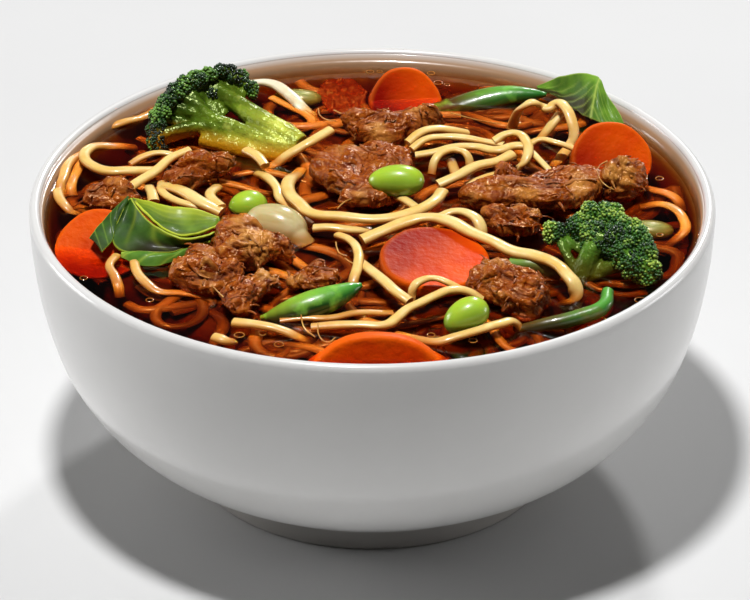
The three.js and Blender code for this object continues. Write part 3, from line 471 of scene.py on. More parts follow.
# Each noodle on top: its width, then its route as (x, y, height above the broth) in mm.
TOP_NOODLES = [
    (3.3, (-55, 20.5, 1), (-62, 18.5, 2), (-67, 18.5, 2), (-70.5, 21, 2), (-73, 25.5, 2), (-72.5, 31, 1.5),
     (-70, 35, 0.5), (-66, 37, -1), (-61, 39, -4)),
    (2.9, (-61, 8, 2.5), (-58.5, 11, 3), (-54.5, 14.5, 4), (-50.5, 19, 5.6), (-46, 21.5, 6.4)),
    (2.2, (-61.5, 25, 0.5), (-58, 27.5, 1.5), (-54, 28.5, 2), (-49, 28, 1), (-44, 28.5, -1)),
    (2.7, (-55.5, 59, -1), (-60, 52, 0), (-65, 48, 0.5), (-67.5, 47.5, -0.5), (-68.5, 49, -4)),
    (2.7, (-74, 33.5, -0.5), (-77, 26.5, 0.5), (-78, 18, 0.5), (-78.5, 13.5, 0), (-78, 11, -3)),
    (3.0, (-74, 29, -1), (-75, 23, -1), (-76, 15, -1), (-75.5, 11.5, -3)),
    (2.7, (-79, 10, 1), (-78, 5, 1), (-75.5, 1, 0), (-73.5, 1.5, -2.5)),
    (3.0, (-56, 10.5, 1.5), (-55, 5.5, 2.2), (-54.5, 2.5, 1.6)),
    (2.4, (-53, 14, 1), (-52.5, 7, 2), (-49, 2.5, 2), (-43.5, 0, 1.5), (-40, 0.5, -0.5)),
    (3.5, (-52.5, 11.5, 1.5), (-47.5, 6.5, 2.5), (-42.5, 0.5, 2.5), (-37.5, -2, 1)),
    (2.9, (-39, 12.5, 0.5), (-40.5, 5, 2), (-37.5, -1, 2)),
    (2.9, (-32, 27, 3.5), (-29, 22.5, 4), (-27, 18.5, 3.5)),
    (3.2, (-10.5, 34.5, 5.5), (-15.5, 30, 4.5), (-19, 28.5, 3), (-22.5, 27.5, 1), (-26.5, 26.5, -2.5)),
    (3.5, (-18, 25, -2), (-21, 13.5, 1.5), (-20.5, 4, 3), (-18, -2, 3.5), (-15, -7, 3.5), (-8, -9.5, 4),
     (2, -11, 4), (10, -8.5, 4.5), (15, -4, 5), (17.5, 3.5, 4)),
    (2.7, (-29, 19, 1), (-26.5, 15, 2), (-24, 9.5, 2), (-23, 4.5, 1.5), (-20.5, 1, 1), (-17.5, -5, 1),
     (-15, -6.5, 0)),
    (3.0, (-14.5, -12, 2), (-10.5, -12.5, 2.5), (-5, -13, 2), (-0.5, -11.5, 1)),
    (3.7, (-2.5, -19.5, 2.6), (3, -17, 4), (8.5, -14.5, 5), (13.5, -14, 6), (19, -16, 6), (24, -20.5, 5.5),
     (29.5, -24.5, 5), (34, -27.5, 4), (39.5, -30, 4), (44.5, -35, 4.5), (47, -39.5, 4), (49, -42.5, 2),
     (48.5, -43.5, -1), (46, -42, -5)),
    (2.9, (16.5, -8, 3), (20.5, -7, 4), (24.5, -9, 4), (26.5, -11.5, 3), (27, -14, 0.5)),
    (2.5, (-8.5, -14.5, 1.5), (-5.5, -19, 2.5), (-3.5, -25.5, 3), (-3.5, -32.5, 2.5), (-4.5, -37, 1),
     (-5, -40, -2)),
    (3.0, (-3, -28.5, 1.5), (3, -41, 3), (6, -46.5, 3), (9, -49, 2)),
    (2.2, (9.5, -46.5, 1), (10, -45.5, 4), (12, -44, 5), (15, -43, 5), (18, -44, 4.5), (21, -44.5, 3)),
    (2.8, (-14.5, -59, 0.5), (-9, -59, 1), (-3, -59.5, 1.5), (3.5, -59.5, 1.5), (6, -57, 2), (8.5, -54.5, 3),
     (11.5, -52.5, 3.5), (15.5, -49.5, 4), (19, -47, 4), (23, -46, 3), (26.5, -46.5, 1)),
    (3.0, (-33, -57.5, 1), (-27.5, -59.5, 1.5), (-22, -61, 1), (-18, -62, -0.5), (-15, -62, -4)),
    (2.0, (-22, -55, 0), (-17, -54.5, 0.5), (-10, -54.5, 0.5), (-3.5, -52, 0.5), (5, -50.5, -0.5)),
    (2.5, (-58, -27.5, 1), (-57, -33, 1), (-54.5, -37.5, 0.5), (-51.5, -40, -0.5), (-46, -40, -1.5),
     (-41, -41, -2.5), (-38.5, -43, -3.5), (-41.5, -43.5, -4.5)),
    (2.5, (-62.5, -23.5, 0.5), (-64, -28.5, 0.5), (-62.5, -33, 0), (-61.5, -37, -1), (-61, -40, -4)),
    (3.0, (-33, -64, -1), (-35, -66, 1), (-37.5, -64.5, 1)),
    (2.9, (36, 47.5, -1), (37, 45.5, 4), (39, 43, 8), (41, 43, 9), (43.5, 44, 7.4), (45, 43.5, 7),
     (47.5, 44, 8.4), (49.5, 41, 8.5), (51, 37.5, 6.5), (51.5, 35, 4), (50.5, 33.5, 1.5), (48, 29.5, 0),
     (46, 27.5, -3)),
    (2.9, (48.5, 44, 5.5), (45.5, 41.5, 2.5), (42.5, 40, -1)),
    (2.2, (39.5, 28.5, 4), (42.5, 30, 5), (46.5, 28.5, 5), (50.5, 27.5, 4), (53.5, 27, 2.5), (54.5, 26.5, 0),
     (54, 26.5, -3)),
    (2.7, (31, 30, 4.5), (34, 31, 6), (37, 30.5, 6.5), (39, 27.5, 6), (39.5, 23.5, 5), (38.5, 21, 3.5),
     (37, 21, 1.5)),
    (2.5, (10, 29.5, 2.5), (13.5, 32, 4), (18, 33.5, 4), (23, 33, 4), (28.5, 31, 4), (33.5, 29, 4)),
    (2.9, (11, 27, 2), (16, 27, 3), (20.5, 27.5, 4), (26, 28, 4), (32, 25, 4.5), (36, 26.5, 5),
     (38.5, 26.5, 5)),
    (2.9, (9, 33, 2.5), (12.5, 36, 4), (16.5, 38, 4), (20.5, 39, 3), (24.5, 40.5, 1.5)),
    (2.2, (15, 20.5, 0), (16, 23, 3), (18.5, 25.5, 4), (22, 26, 4), (24, 24.5, 3.5), (25, 22, 0)),
    (2.7, (20, 27, 0.5), (21, 20.5, 0.5), (21.5, 18.5, -0.5)),
    (3.2, (16.5, 11, 2), (21.5, 13, 3.5), (26.5, 16.5, 4.5), (31.5, 18, 5), (35.5, 21, 5.5)),
    (2.0, (23.5, 13, 1), (27.5, 14.5, 2), (31.5, 16.5, 2.5)),
    (2.0, (40.5, 25, 4), (43, 21, 3), (45.5, 18, 1.5)),
    (2.7, (6, 5, 2), (8.5, 0.5, 3), (11.5, -3, 2.5)),
    (2.7, (5.5, -60, -1.5), (10.5, -63, -0.5), (15.5, -66, 0.5), (19.5, -65.5, 1.5), (24.5, -63.5, 2),
     (30.5, -60, 2), (34, -57.5, 1), (36, -57.5, -2)),
    (2.9, (66, 18.5, -4), (71, 13.5, -1.8), (74, 11.5, -1.4), (76.5, 8.5, -2), (77.5, 5, -5)),
    (2.9, (67.5, 6, -3.5), (72, 5.5, -1.2), (75.5, 2.5, -0.6), (77.5, -3, -1), (77.5, -8, -1.5),
     (75.5, -11, -3), (73, -13, -5), (71, -16, -7)),
    (2.7, (-26.5, 65, -1), (-21, 59.5, -1.5), (-17, 55, -1.5), (-15.5, 51.5, -2), (-17, 48.5, -2.5),
     (-20, 49, -5)),
]


def along_lines(name, lines, flatness, sides=3, steps=6):
    """Solid lines drawn with a flattened round section; each is its points and half widths in mm."""
    section = begun("section", bpy.ops.curve.primitive_bezier_circle_add, radius=MM)
    section.data.resolution_u = sides
    for point in section.data.splines[0].bezier_points:
        for corner in (point.co, point.handle_left, point.handle_right):
            corner.y *= flatness
    bpy.ops.curve.primitive_bezier_curve_add()
    drawn = bpy.context.object
    drawn.name = name
    drawn.data.splines.clear()
    drawn.data.bevel_mode = "OBJECT"
    drawn.data.bevel_object = section
    drawn.data.use_fill_caps = True
    drawn.data.twist_mode = "Z_UP"
    drawn.data.resolution_u = steps
    for points, halves in lines:
        spline = drawn.data.splines.new("BEZIER")
        spline.bezier_points.add(len(points) - 1)
        spline.radius_interpolation = "CARDINAL"
        for knot, (x, y, height), half in zip(spline.bezier_points, points, halves):
            knot.co = (x * MM, y * MM, (BROTH_LEVEL + height) * MM)
            knot.handle_left_type = knot.handle_right_type = "AUTO"
            knot.radius = half
    bpy.ops.object.convert(target="MESH")
    piece = bpy.context.object
    bpy.ops.object.mode_set(mode="EDIT")
    bpy.ops.mesh.select_all(action="SELECT")
    bpy.ops.mesh.remove_doubles(threshold=0.01 * MM)
    bpy.ops.mesh.normals_make_consistent(inside=False)
    bpy.ops.object.mode_set(mode="OBJECT")
    bpy.data.objects.remove(section)
    bpy.ops.object.shade_smooth_by_angle(angle=math.radians(50))
    return piece


def sunken_noodle(draw, layer):
    """One curling route through the sunken heap; layer 0 is the deepest and 1 the highest."""
    angle = draw.uniform(0, math.tau)
    reach = HEAP_RADIUS * math.sqrt(draw.random())
    x, y = reach * math.cos(angle), reach * math.sin(angle)
    heading = draw.uniform(0, math.tau)
    swing, rate, phase = draw.uniform(0.35, 0.8), draw.uniform(0.35, 0.8), draw.uniform(0, math.tau)
    points = []
    for step in range(SUNKEN_STEPS):
        height = SUNKEN_FLOOR + SUNKEN_RISE * layer + 0.9 * math.sin(phase + step * 0.9)
        room = min(1, (wall_radius(BROTH_LEVEL + height) - 3) / math.hypot(x, y))
        points.append((x * room, y * room, height))
        heading += swing * math.sin(phase + rate * step)
        if math.hypot(x, y) > HEAP_RADIUS:
            inward = math.atan2(-y, -x)
            heading += 0.7 * math.sin(inward - heading)
        x += SUNKEN_STRIDE * math.cos(heading)
        y += SUNKEN_STRIDE * math.sin(heading)
    half = draw.uniform(*SUNKEN_HALVES)
    return points, [half * (1 + WIDTH_SWAY * math.sin(phase + step)) for step in range(SUNKEN_STEPS)]


noodle_draw = random.Random(12)
noodle_lines = []
for width, *route in TOP_NOODLES:
    halves = [width / 2 * (1 + WIDTH_SWAY * noodle_draw.uniform(-1, 1)) for _ in route]
    noodle_lines.append((route, halves))
sunken_lines = [sunken_noodle(noodle_draw, count / SUNKEN_COUNT) for count in range(SUNKEN_COUNT)]
noodle_pieces = [
    along_lines("wheat_noodles", noodle_lines, NOODLE_FLATNESS),
    along_lines("sunken_noodles", sunken_lines, SUNKEN_FLATNESS, sides=2, steps=4),
]


def rise_mask(tree, low, high, unevenness=0.8):
    """A mask that is 1 at a height of low mm above the broth and 0 at high mm, its edge uneven."""
    place = place_in(tree)
    height = add_node(tree, "ShaderNodeSeparateXYZ", {"Vector": place})
    patches = add_node(tree, "ShaderNodeTexNoise", {"Vector": place, "Scale": 160.0, "Detail": 2.0})
    sway = math_of(tree, "MULTIPLY", patches.outputs["Fac"], unevenness * MM * 2)
    level = math_of(tree, "ADD", height.outputs["Z"], sway)
    dry, wet = ((BROTH_LEVEL + end + unevenness) * MM for end in (high, low))
    return ranged(tree, level, dry, wet, interpolation_type="SMOOTHSTEP")


def up_mask(tree, low, high):
    """A mask that goes from 0 to 1 as the surface turns up; low and high are its normal's height."""
    facing = add_node(tree, "ShaderNodeNewGeometry")
    upward = add_node(tree, "ShaderNodeSeparateXYZ", {"Vector": facing.outputs["Normal"]})
    return ranged(tree, upward.outputs["Z"], low, high)


finish, tree, shader = new_finish(
    "boiled_noodle", roughness=0.42, coat_weight=0.35, coat_roughness=0.1, subsurface_weight=0.1,
    subsurface_scale=0.0012)
cream = blend(tree, add_group(tree, MOTTLE, Scale=150.0), tint(248, 216, 136), tint(238, 192, 100))
# Painted shade: sides that turn away from above take a darker gold.
painted_shade_flank = blend(tree, up_mask(tree, -0.1, 0.85), tint(200, 130, 42), cream)
gold = blend(tree, add_group(tree, MOTTLE, Scale=90.0), tint(222, 150, 58), tint(198, 114, 38))
wetted = blend(tree, rise_mask(tree, 0.2, 2.8), painted_shade_flank, gold)
# Painted shade: noodles under the broth turn dark brown with depth.
depth_shade = blend(tree, rise_mask(tree, -4, -0.2), wetted, tint(112, 66, 34))
dress(tree, shader, depth_shade, (330.0, 0.0006, 0.4))
for noodles in noodle_pieces:
    noodles.data.materials.append(finish)
    kept(noodles, "noodles", "noodles")

# ---- the beef ------------------------------------------------------------------------------
# Thin shavings of braised beef, crumpled as they cooked: lumps, creases painted dark as shade,
# coarse fibres and frayed ends, wet all over with a thin brown sauce. Lighter tan patches are
# partly the meat's own tone and partly painted highlight.

BEEF_GRAIN = 0.33
CRUMPLE_SEED = 3
# Each shaving: which way its grain runs, in degrees, and how lumpy it has curled.
SHAVINGS = {
    "beef_back": (0, 0.6), "beef_middle": (-35, 0.45), "beef_right": (12, 0.5),
    "beef_right_curl": (60, 0.9), "beef_fold": (-15, 0.8), "beef_knob": (80, 0.8),
    "beef_left_curl": (30, 1), "beef_left": (10, 1), "beef_front_ridge": (-35, 1),
    "beef_front": (0, 1), "beef_shred": (25, 0.9), "beef_bit": (20, 0.9), "beef_corner": (-30, 0.7),
}
# Each kind of unevenness in the meat: how fine it is and how far it moves the skin, in mm.
SWELL_FINENESS, SWELL_HEIGHT = 0.11, 1.2
LUMP_FINENESS, LUMP_HEIGHT = 0.2, 1.5
KNOT_FINENESS, KNOT_HEIGHT = 0.52, 0.5
THREAD_ALONG, THREAD_ACROSS, THREAD_HEIGHT = 0.3, 1.15, 0.3
SWAY_FINENESS, SWAY_REACH = 0.13, 2.6
MEAT_FULLNESS = 0.4
MEAT_DEEPEST, MEAT_HIGHEST = -1.0, 2.0
FRAYS_PER_SHAVING = 12
FRAY_HALVES = (0.18, 0.4)
STRANDS_PER_SHAVING = 5
STRAND_HALVES = (0.25, 0.6)
STRAND_STRIDE = 1.25


def modified(piece, kind, **settings):
    """Works one modifier with its settings into a piece."""
    bpy.context.view_layer.objects.active = piece
    bpy.ops.object.modifier_add(type=kind)
    modifier = piece.modifiers[-1]
    for key, value in settings.items():
        setattr(modifier, key, value)
    bpy.ops.object.modifier_apply(modifier=modifier.name)


def remeshed(piece, grain, rounding):
    """Melts a piece, or bodies that overlap in it, into one even skin with its corners rounded."""
    modified(piece, "REMESH", mode="VOXEL", voxel_size=grain * MM)
    modified(piece, "SMOOTH", iterations=rounding)
    bpy.ops.object.select_all(action="DESELECT")
    piece.select_set(True)
    bpy.ops.object.shade_smooth()


def keep_values(piece, name, values):
    """Keeps a number from 0 to 1 for each point of a mesh, for its material to read."""
    shares = [min(1.0, max(0.0, float(value))) for value in values]
    piece.data.attributes.new(name, "FLOAT", "POINT").data.foreach_set("value", shares)


def value_kept(tree, name):
    """The numbers that keep_values left on the mesh."""
    return add_node(tree, "ShaderNodeAttribute", attribute_name=name).outputs["Fac"]


def fine_copy(node, name, grain, rounding):
    """A node's solid as a fine even mesh of its own, its corners rounded off."""
    bpy.ops.object.select_all(action="DESELECT")
    piece = bpy.data.objects.new(name, frame["nodes"][node].data.copy())
    piece.data.materials.clear()
    bpy.context.collection.objects.link(piece)
    piece.select_set(True)
    bpy.context.view_layer.objects.active = piece
    bpy.ops.object.mode_set(mode="EDIT")
    bpy.ops.mesh.select_all(action="SELECT")
    bpy.ops.mesh.remove_doubles(threshold=0.002 * MM)
    bpy.ops.object.mode_set(mode="OBJECT")
    remeshed(piece, grain, rounding)
    return piece


def crumple(piece, heading, lumpy, seed):
    """Pushes a meat mesh into lumps, creases and threads; keeps each point's relief and grain."""
    mesh = piece.data
    along = Matrix.Rotation(-math.radians(heading), 3, "Z")
    shift = Vector((seed * 13.1, seed * 7.7, seed * 3.9))
    places = [vertex.co / MM for vertex in mesh.vertices]
    normals = [vertex.normal.copy() for vertex in mesh.vertices]
    reliefs, fibres = [], []
    for vertex, place, normal in zip(mesh.vertices, places, normals):
        grainwise = along @ place + shift
        sway = noise.noise_vector(grainwise * SWAY_FINENESS) * SWAY_REACH
        swell = noise.noise(grainwise * SWELL_FINENESS)
        swayed = Vector((grainwise.x * 0.4, grainwise.y, grainwise.z)) + sway
        lump = abs(noise.noise(swayed * LUMP_FINENESS)) * 2
        knot = abs(noise.noise(swayed * KNOT_FINENESS + sway)) * 2
        drawn_out = Vector((grainwise.x * THREAD_ALONG, grainwise.y * THREAD_ACROSS, grainwise.z))
        thread = noise.noise(drawn_out + sway)
        curl = lumpy * (SWELL_HEIGHT * swell + LUMP_HEIGHT * (lump - 0.42) + KNOT_HEIGHT * (knot - 0.4))
        height = MEAT_FULLNESS + curl + THREAD_HEIGHT * thread
        vertex.co = (place + normal * max(MEAT_DEEPEST, min(MEAT_HIGHEST, height))) * MM
        # How high each point stands; the material paints shade into the low ones.
        stands = 0.6 + 0.4 * swell + 0.7 * (lump - 0.4) + 0.4 * (knot - 0.4) + 0.4 * thread
        reliefs.append(stands)
        fibres += (grainwise.x * 0.3 + sway.x, grainwise.y * 2 + sway.y, grainwise.z * 2 + sway.z)
    keep_values(piece, "relief", reliefs)
    mesh.attributes.new("fibre", "FLOAT_VECTOR", "POINT").data.foreach_set("vector", fibres)
    mesh.update()


def frays(piece, draw, count):
    """Short thin fibres that stand off the sides of a shaving: their points and half widths."""
    lines = []
    vertices = piece.data.vertices
    while len(lines) < count:
        vertex = vertices[draw.randrange(len(vertices))]
        if vertex.normal.z > 0.85 or vertex.co.z < (BROTH_LEVEL + 0.6) * MM:
            continue
        start = vertex.co / MM - Vector((0, 0, BROTH_LEVEL))
        out = vertex.normal * draw.uniform(0.6, 1.4)
        side = Vector((draw.uniform(-1, 1), draw.uniform(-1, 1), draw.uniform(-0.2, 0.2))) * 1.5
        points = [start - out * 0.4]
        for step in range(1, 4):
            points.append(start + (out + side * 0.5) * step * 0.55 + Vector((0, 0, -0.12 * step * step)))
        half = draw.uniform(*FRAY_HALVES)
        lines.append(([tuple(point) for point in points], [half, half, half * 0.8, half * 0.4]))
    return lines


def torn_strands(piece, heading, draw, count):
    """Strands torn loose along the grain, lying on a shaving with their ends lifted."""
    lines = []
    vertices = piece.data.vertices
    while len(lines) < count:
        vertex = vertices[draw.randrange(len(vertices))]
        if vertex.normal.z < 0.15 or vertex.co.z < (BROTH_LEVEL + 0.3) * MM:
            continue
        spot = vertex.co.copy()
        turn = math.radians(heading + draw.gauss(0, 22))
        length = draw.randint(5, 11)
        points = []
        for number in range(length):
            place, normal = piece.closest_point_on_mesh(spot)[1:3]
            lift = 0.1 + 0.55 * abs(2 * number / (length - 1) - 1) ** 3
            points.append(tuple(place / MM + normal * lift - Vector((0, 0, BROTH_LEVEL))))
            turn += draw.gauss(0, 0.22)
            spot = place + Vector((math.cos(turn), math.sin(turn), 0)) * STRAND_STRIDE * MM
        half = draw.uniform(*STRAND_HALVES)
        tapers = [0.35 + 0.65 * math.sin(math.pi * (number + 0.5) / length) for number in range(length)]
        lines.append((points, [half * taper * draw.uniform(0.8, 1.2) for taper in tapers]))
    return lines


finish, tree, shader = new_finish(
    "braised_beef", specular_ior_level=0.75, specular_tint=(1, 0.62, 0.32, 1))
# Painted shade: the low points of the relief take the dark crease colour.
ridge = ranged(tree, value_kept(tree, "relief"), 0.12, 0.62)
fibre = add_node(tree, "ShaderNodeAttribute", attribute_name="fibre")
strands = add_node(
    tree, "ShaderNodeTexNoise", {"Vector": fibre.outputs["Vector"], "Scale": 1.0, "Detail": 4.0})
streak = ranged(tree, strands.outputs["Fac"], 0.38, 0.62)
lean = blend(tree, streak, tint(130, 52, 12), tint(174, 92, 30))
# Lighter tan patches: partly the meat's own tone, partly painted highlight.
tan_tone_and_highlight = blend(tree, add_group(tree, MOTTLE, Scale=95.0, Low=0.52, High=0.7), lean, tint(206, 140, 66))
crease_shade = blend(tree, ridge, tint(92, 30, 8), tan_tone_and_highlight)
wetted = blend(tree, rise_mask(tree, -0.5, 1.8), crease_shade, tint(128, 46, 14))
dress(tree, shader, wetted)
wet_spots = add_group(tree, MOTTLE, Scale=260.0, Low=0.4, High=0.52)
tree.links.new(ranged(tree, wet_spots, 0.0, 1.0, 0.6, 0.22), shader.inputs["Roughness"])
stringy = add_node(
    tree, "ShaderNodeBump",
    {
        "Height": strands.outputs["Fac"], "Distance": 0.5 * MM, "Strength": 0.5,
        "Normal": add_group(tree, RELIEF, Scale=520.0, Height=0.001, Strength=0.7),
    })
tree.links.new(stringy.outputs["Normal"], shader.inputs["Normal"])
noise.seed_set(CRUMPLE_SEED)
fray_draw = random.Random(21)
fray_lines, strand_lines = [], []
for number, (node, (heading, lumpy)) in enumerate(SHAVINGS.items()):
    shaving = fine_copy(node, node.replace("beef", "shaving"), BEEF_GRAIN, rounding=3)
    crumple(shaving, heading, lumpy, number + 1)
    shaving.data.materials.append(finish)
    kept(shaving, "beef", node)
    fray_lines += frays(shaving, fray_draw, FRAYS_PER_SHAVING)
    strand_lines += torn_strands(shaving, heading, fray_draw, STRANDS_PER_SHAVING)
for name, lines, flatness in (("meat_fibres", fray_lines, 0.8), ("meat_strands", strand_lines, 0.55)):
    piece = along_lines(name, lines, flatness, sides=2, steps=3)
    keep_values(
        piece, "relief", [0.42 + 0.35 * noise.noise(vertex.co * 420) for vertex in piece.data.vertices])
    piece.data.materials.append(finish)
    kept(piece, "beef")

# A wide thin slice lies wholly sunk against the wall at the back.
SUNKEN_SLICE = [
    (-14.3, 69.5), (-12.5, 76), (-9, 77.4), (-5.4, 77.4), (-3.2, 74), (-1.6, 67), (-3.2, 60), (-7.5, 56.5),
    (-11.6, 60),
]
SLICE_DEPTH = 2.6
SLICE_THICKNESS = 1.6
EDGE_POINTS = 120
slice_piece = begun(
    "sunken_slice", bpy.ops.mesh.primitive_grid_add, x_subdivisions=40, y_subdivisions=40, size=2)
outline = smooth_line([*SUNKEN_SLICE, SUNKEN_SLICE[0]], EDGE_POINTS)
centre = outline.mean(axis=0)
for vertex in slice_piece.data.vertices:
    x, y = vertex.co.x, vertex.co.y
    reach = max(abs(x), abs(y))
    turn = (math.atan2(y, x) / math.tau * EDGE_POINTS) % EDGE_POINTS
    edge = outline[int(EDGE_POINTS / 2 - turn) % EDGE_POINTS]
    spot = centre + (edge - centre) * reach
    fold = noise.noise(Vector((spot[0] * 0.22, spot[1] * 0.22, 4))) * 2.4
    fine = noise.noise(Vector((spot[0] * 0.9, spot[1] * 0.4, 9))) * 0.6
    vertex.co = (spot[0] * MM, spot[1] * MM, (BROTH_LEVEL - SLICE_DEPTH + 0.6 * fold + fine) * MM)
keep_values(slice_piece, "relief", [0.62] * len(slice_piece.data.vertices))
modified(slice_piece, "SOLIDIFY", thickness=SLICE_THICKNESS * MM)
bpy.ops.object.shade_smooth()
slice_piece.data.materials.append(finish)
kept(slice_piece, "beef")

# ---- the carrots ---------------------------------------------------------------------------
# Carrot cut across into thick round slices and boiled soft: the wet cut faces are dished a
# little inside a firmer rim, and each is coloured a deeper red towards one side.

CARROT_SEGMENTS = 72
TURNED_RADIUS = 10
# A cut face and its rounded edge, each as a share of the radius and how far it is dished, in mm.
CUT_FACE = [(share, 0.25 * (1 - share ** 4)) for share in (0.12, 0.3, 0.5, 0.68, 0.82, 0.91)]
CUT_EDGE = [(0.955, 0.05), (0.985, 0.35), (1.0, 0.9)]
CARROTS = {
    "carrot_centre": {
        "at": (15, -30, 1.9), "radii": (13.4, 13), "thickness": 4.2, "lean": 7, "roll": 3,
        "red_side": (-0.75, 0.6, -0.2)},
    "carrot_left": {
        "at": (-67, -18.3, -1.8), "radii": (11.2, 11.2), "thickness": 5, "lean": 40, "heading": -14,
        "red_side": (0.35, 0, -0.9)},
    "carrot_right": {
        "at": (60.5, 26, 0.6), "radii": (10.4, 10.2), "thickness": 4.6, "lean": 52, "heading": 8,
        "red_side": (-0.7, 0, -0.7)},
    "carrot_back": {
        "at": (8.5, 64, -3), "radii": (9.6, 10.4), "thickness": 5.5, "lean": 58, "heading": 6,
        "red_side": (-1, 0, -0.3)},
    "carrot_front": {
        "at": (1.5, -73, -8.6), "radii": (18, 14), "thickness": 4.6, "lean": 77, "red_side": (0, 0, -1)},
}


def placed(piece, at, radii=(1, 1, 1), roll=0, lean=0, heading=0):
    """Scales, rolls, leans and turns a piece's mesh, then sets it at (x, y, height above broth)."""
    turn = Euler([math.radians(angle) for angle in (lean, roll, heading)], "YXZ").to_matrix().to_4x4()
    spot = Matrix.Translation(Vector((at[0], at[1], BROTH_LEVEL + at[2])) * MM)
    piece.data.transform(spot @ turn @ Matrix.Diagonal((*radii, 1)))
    piece.data.update()


def trimmed_to_bowl(piece):
    """Cuts off what would stand in the bowl's wall."""
    room = turned("room_in_bowl", [
        *[
            (wall_radius(height) - 0.2, height)
            for height in np.linspace(BROTH_LEVEL - 40, BROTH_LEVEL + 3, 12)
        ],
        (wall_radius(BROTH_LEVEL + 3) + 12, BROTH_LEVEL + 40), (2, BROTH_LEVEL + 40),
    ], 96)
    modified(piece, "BOOLEAN", operation="INTERSECT", object=room)
    bpy.data.objects.remove(room)


finish, tree, shader = new_finish(
    "boiled_carrot", roughness=0.5, specular_ior_level=0.28, specular_tint=(1, 0.5, 0.2, 1))
rim_band = ranged(tree, value_kept(tree, "ring"), 0.86, 0.98, end=0.35)
flesh = blend(tree, add_group(tree, MOTTLE, Scale=120.0), tint(234, 84, 6), tint(222, 66, 8))
# Each slice turns a deeper red towards its red side.
deeper_tone = blend(tree, value_kept(tree, "red"), flesh, tint(142, 10, 4))
dress(tree, shader, blend(tree, rim_band, deeper_tone, tint(246, 118, 22)), (620.0, 0.0005, 0.5))
for node, slice_of in CARROTS.items():
    half = slice_of["thickness"] / 2
    under = [(share * TURNED_RADIUS, dish - half) for share, dish in CUT_FACE + CUT_EDGE]
    over = [(radius, -height) for radius, height in under][::-1]
    carrot = turned(node.replace("carrot", "slice"), under + over, CARROT_SEGMENTS)
    keep_values(carrot, "ring", [
        math.hypot(vertex.co.x, vertex.co.y) / (TURNED_RADIUS * MM) for vertex in carrot.data.vertices])
    for vertex in carrot.data.vertices:
        angle = math.atan2(vertex.co.y, vertex.co.x)
        sway = 1 + 0.012 * math.sin(3 * angle + half) + 0.008 * math.sin(7 * angle)
        vertex.co.x *= sway
        vertex.co.y *= sway
    placed(
        carrot, slice_of["at"], [radius / TURNED_RADIUS for radius in slice_of["radii"]] + [1],
        slice_of.get("roll", 0), slice_of["lean"], slice_of.get("heading", 0))
    centre = Vector((slice_of["at"][0], slice_of["at"][1], BROTH_LEVEL + slice_of["at"][2])) * MM
    reach = slice_of["radii"][0] * MM
    keep_values(carrot, "red", [
        0.45 + 0.85 * Vector(slice_of["red_side"]).dot(vertex.co - centre) / reach
        + 0.25 * noise.noise(vertex.co * 180)
        for vertex in carrot.data.vertices
    ])
    if node != "carrot_centre":
        trimmed_to_bowl(carrot)
    carrot.data.materials.append(finish)
    kept(carrot, "carrot", node)

# ---- the broccoli --------------------------------------------------------------------------
# Two florets: branching pale stems that end in rounded knobs, each knob beaded with closed
# flower buds. The left one is cut lengthways, so its forking stems lie open towards the front.

BUD_RADIUS = 0.42
BUD_SPACING = 0.78
KNOB_SHARE = 0.46
KNOBS_PER_LUMP = 15
KNOB_SIZES = (0.8, 1.15)
BUD_SIZES = (0.75, 1.3)
STEM_GRAIN = 0.5
FLORET_REACH = 38
STEM_HEADING = 139

LEFT_STEMS = [
    [(-18.6, 31.8, 2.2), (-22, 34.4, 3.4), (-26.1, 37.3, 4.6), (-31.8, 42.7, 6.2), (-37.5, 48.6, 8.2),
     (-41, 51.4, 10)],
    [(-19.6, 30.4, 1.2), (-25, 32.4, 2.6), (-31.6, 35.2, 4), (-37.2, 38.6, 5), (-42.3, 41.5, 6.2),
     (-45.2, 46.2, 8.2), (-47.5, 49, 10)],
    [(-41, 41, 5), (-46.8, 43.3, 6), (-50.8, 45.1, 7), (-52.4, 46, 8)],
    [(-31, 35, 3), (-40.1, 38.9, 3.8), (-45.7, 39.7, 3.6), (-51.2, 38.4, 3), (-54.5, 37, 2)],
    [(-33, 44.6, 7), (-35.6, 49.4, 8.8), (-37.2, 52.6, 11)],
    [(-32.6, 43.8, 6.6), (-33.8, 47.6, 8), (-33, 50.4, 9.4)],
    [(-37, 48, 8), (-41.4, 50, 9.6), (-43.4, 51, 10.8)],
    [(-43.5, 44, 7.2), (-47.8, 45.8, 8.6), (-50, 47, 9.4)],
    [(-20.4, 30.4, 0.2), (-26, 31.2, 0.4), (-32, 33, 0.6), (-38, 35.2, 1), (-44, 37.4, 1)],
]
LEFT_STEM_SIZES = [
    [3.4, 3.6, 3.5, 2.9, 2.2, 1.6], [2.6, 2.8, 2.2, 1.9, 1.7, 1.5, 1.3], [1.6, 1.4, 1.2, 1.0],
    [2.3, 2.2, 1.8, 1.6, 1.3], [1.6, 1.2, 1.0], [1.5, 1.2, 1.0], [1.3, 1.1, 0.9], [1.3, 1.1, 0.9],
    [2.6, 3.0, 2.8, 2.4, 2.0],
]
RIGHT_STEMS = [
    [(49, -33, -8), (51, -31, -2), (53, -28, 3), (56, -25, 7)],
    [(50.5, -31, -2), (48, -27, 1.6), (46, -23.5, 4.2), (45, -21.5, 5)],
    [(53, -31, -3), (58, -30, 1), (63, -28.5, 3)],
]
RIGHT_STEM_SIZES = [[2.6, 2.5, 2.7, 2.8], [1.4, 1.3, 1.2, 1.2], [2.0, 2.1, 2.3]]
LEFT_CROWN = {
    "rows": [[(-54.6, 37, 0.6), (-54, 42, 4.6), (-50, 47.4, 8.4), (-44, 51, 10.6), (-37, 53, 11.2),
              (-32.4, 50.4, 8.6)],
             [(-53, 43, 1), (-48, 47, 3.6), (-41.5, 50.5, 6)]],
    "counts": [11, 3], "radii": [3.3, 4.6], "inside": (-42, 41, 2), "opening": 0.25, "branch": 0.2,
}
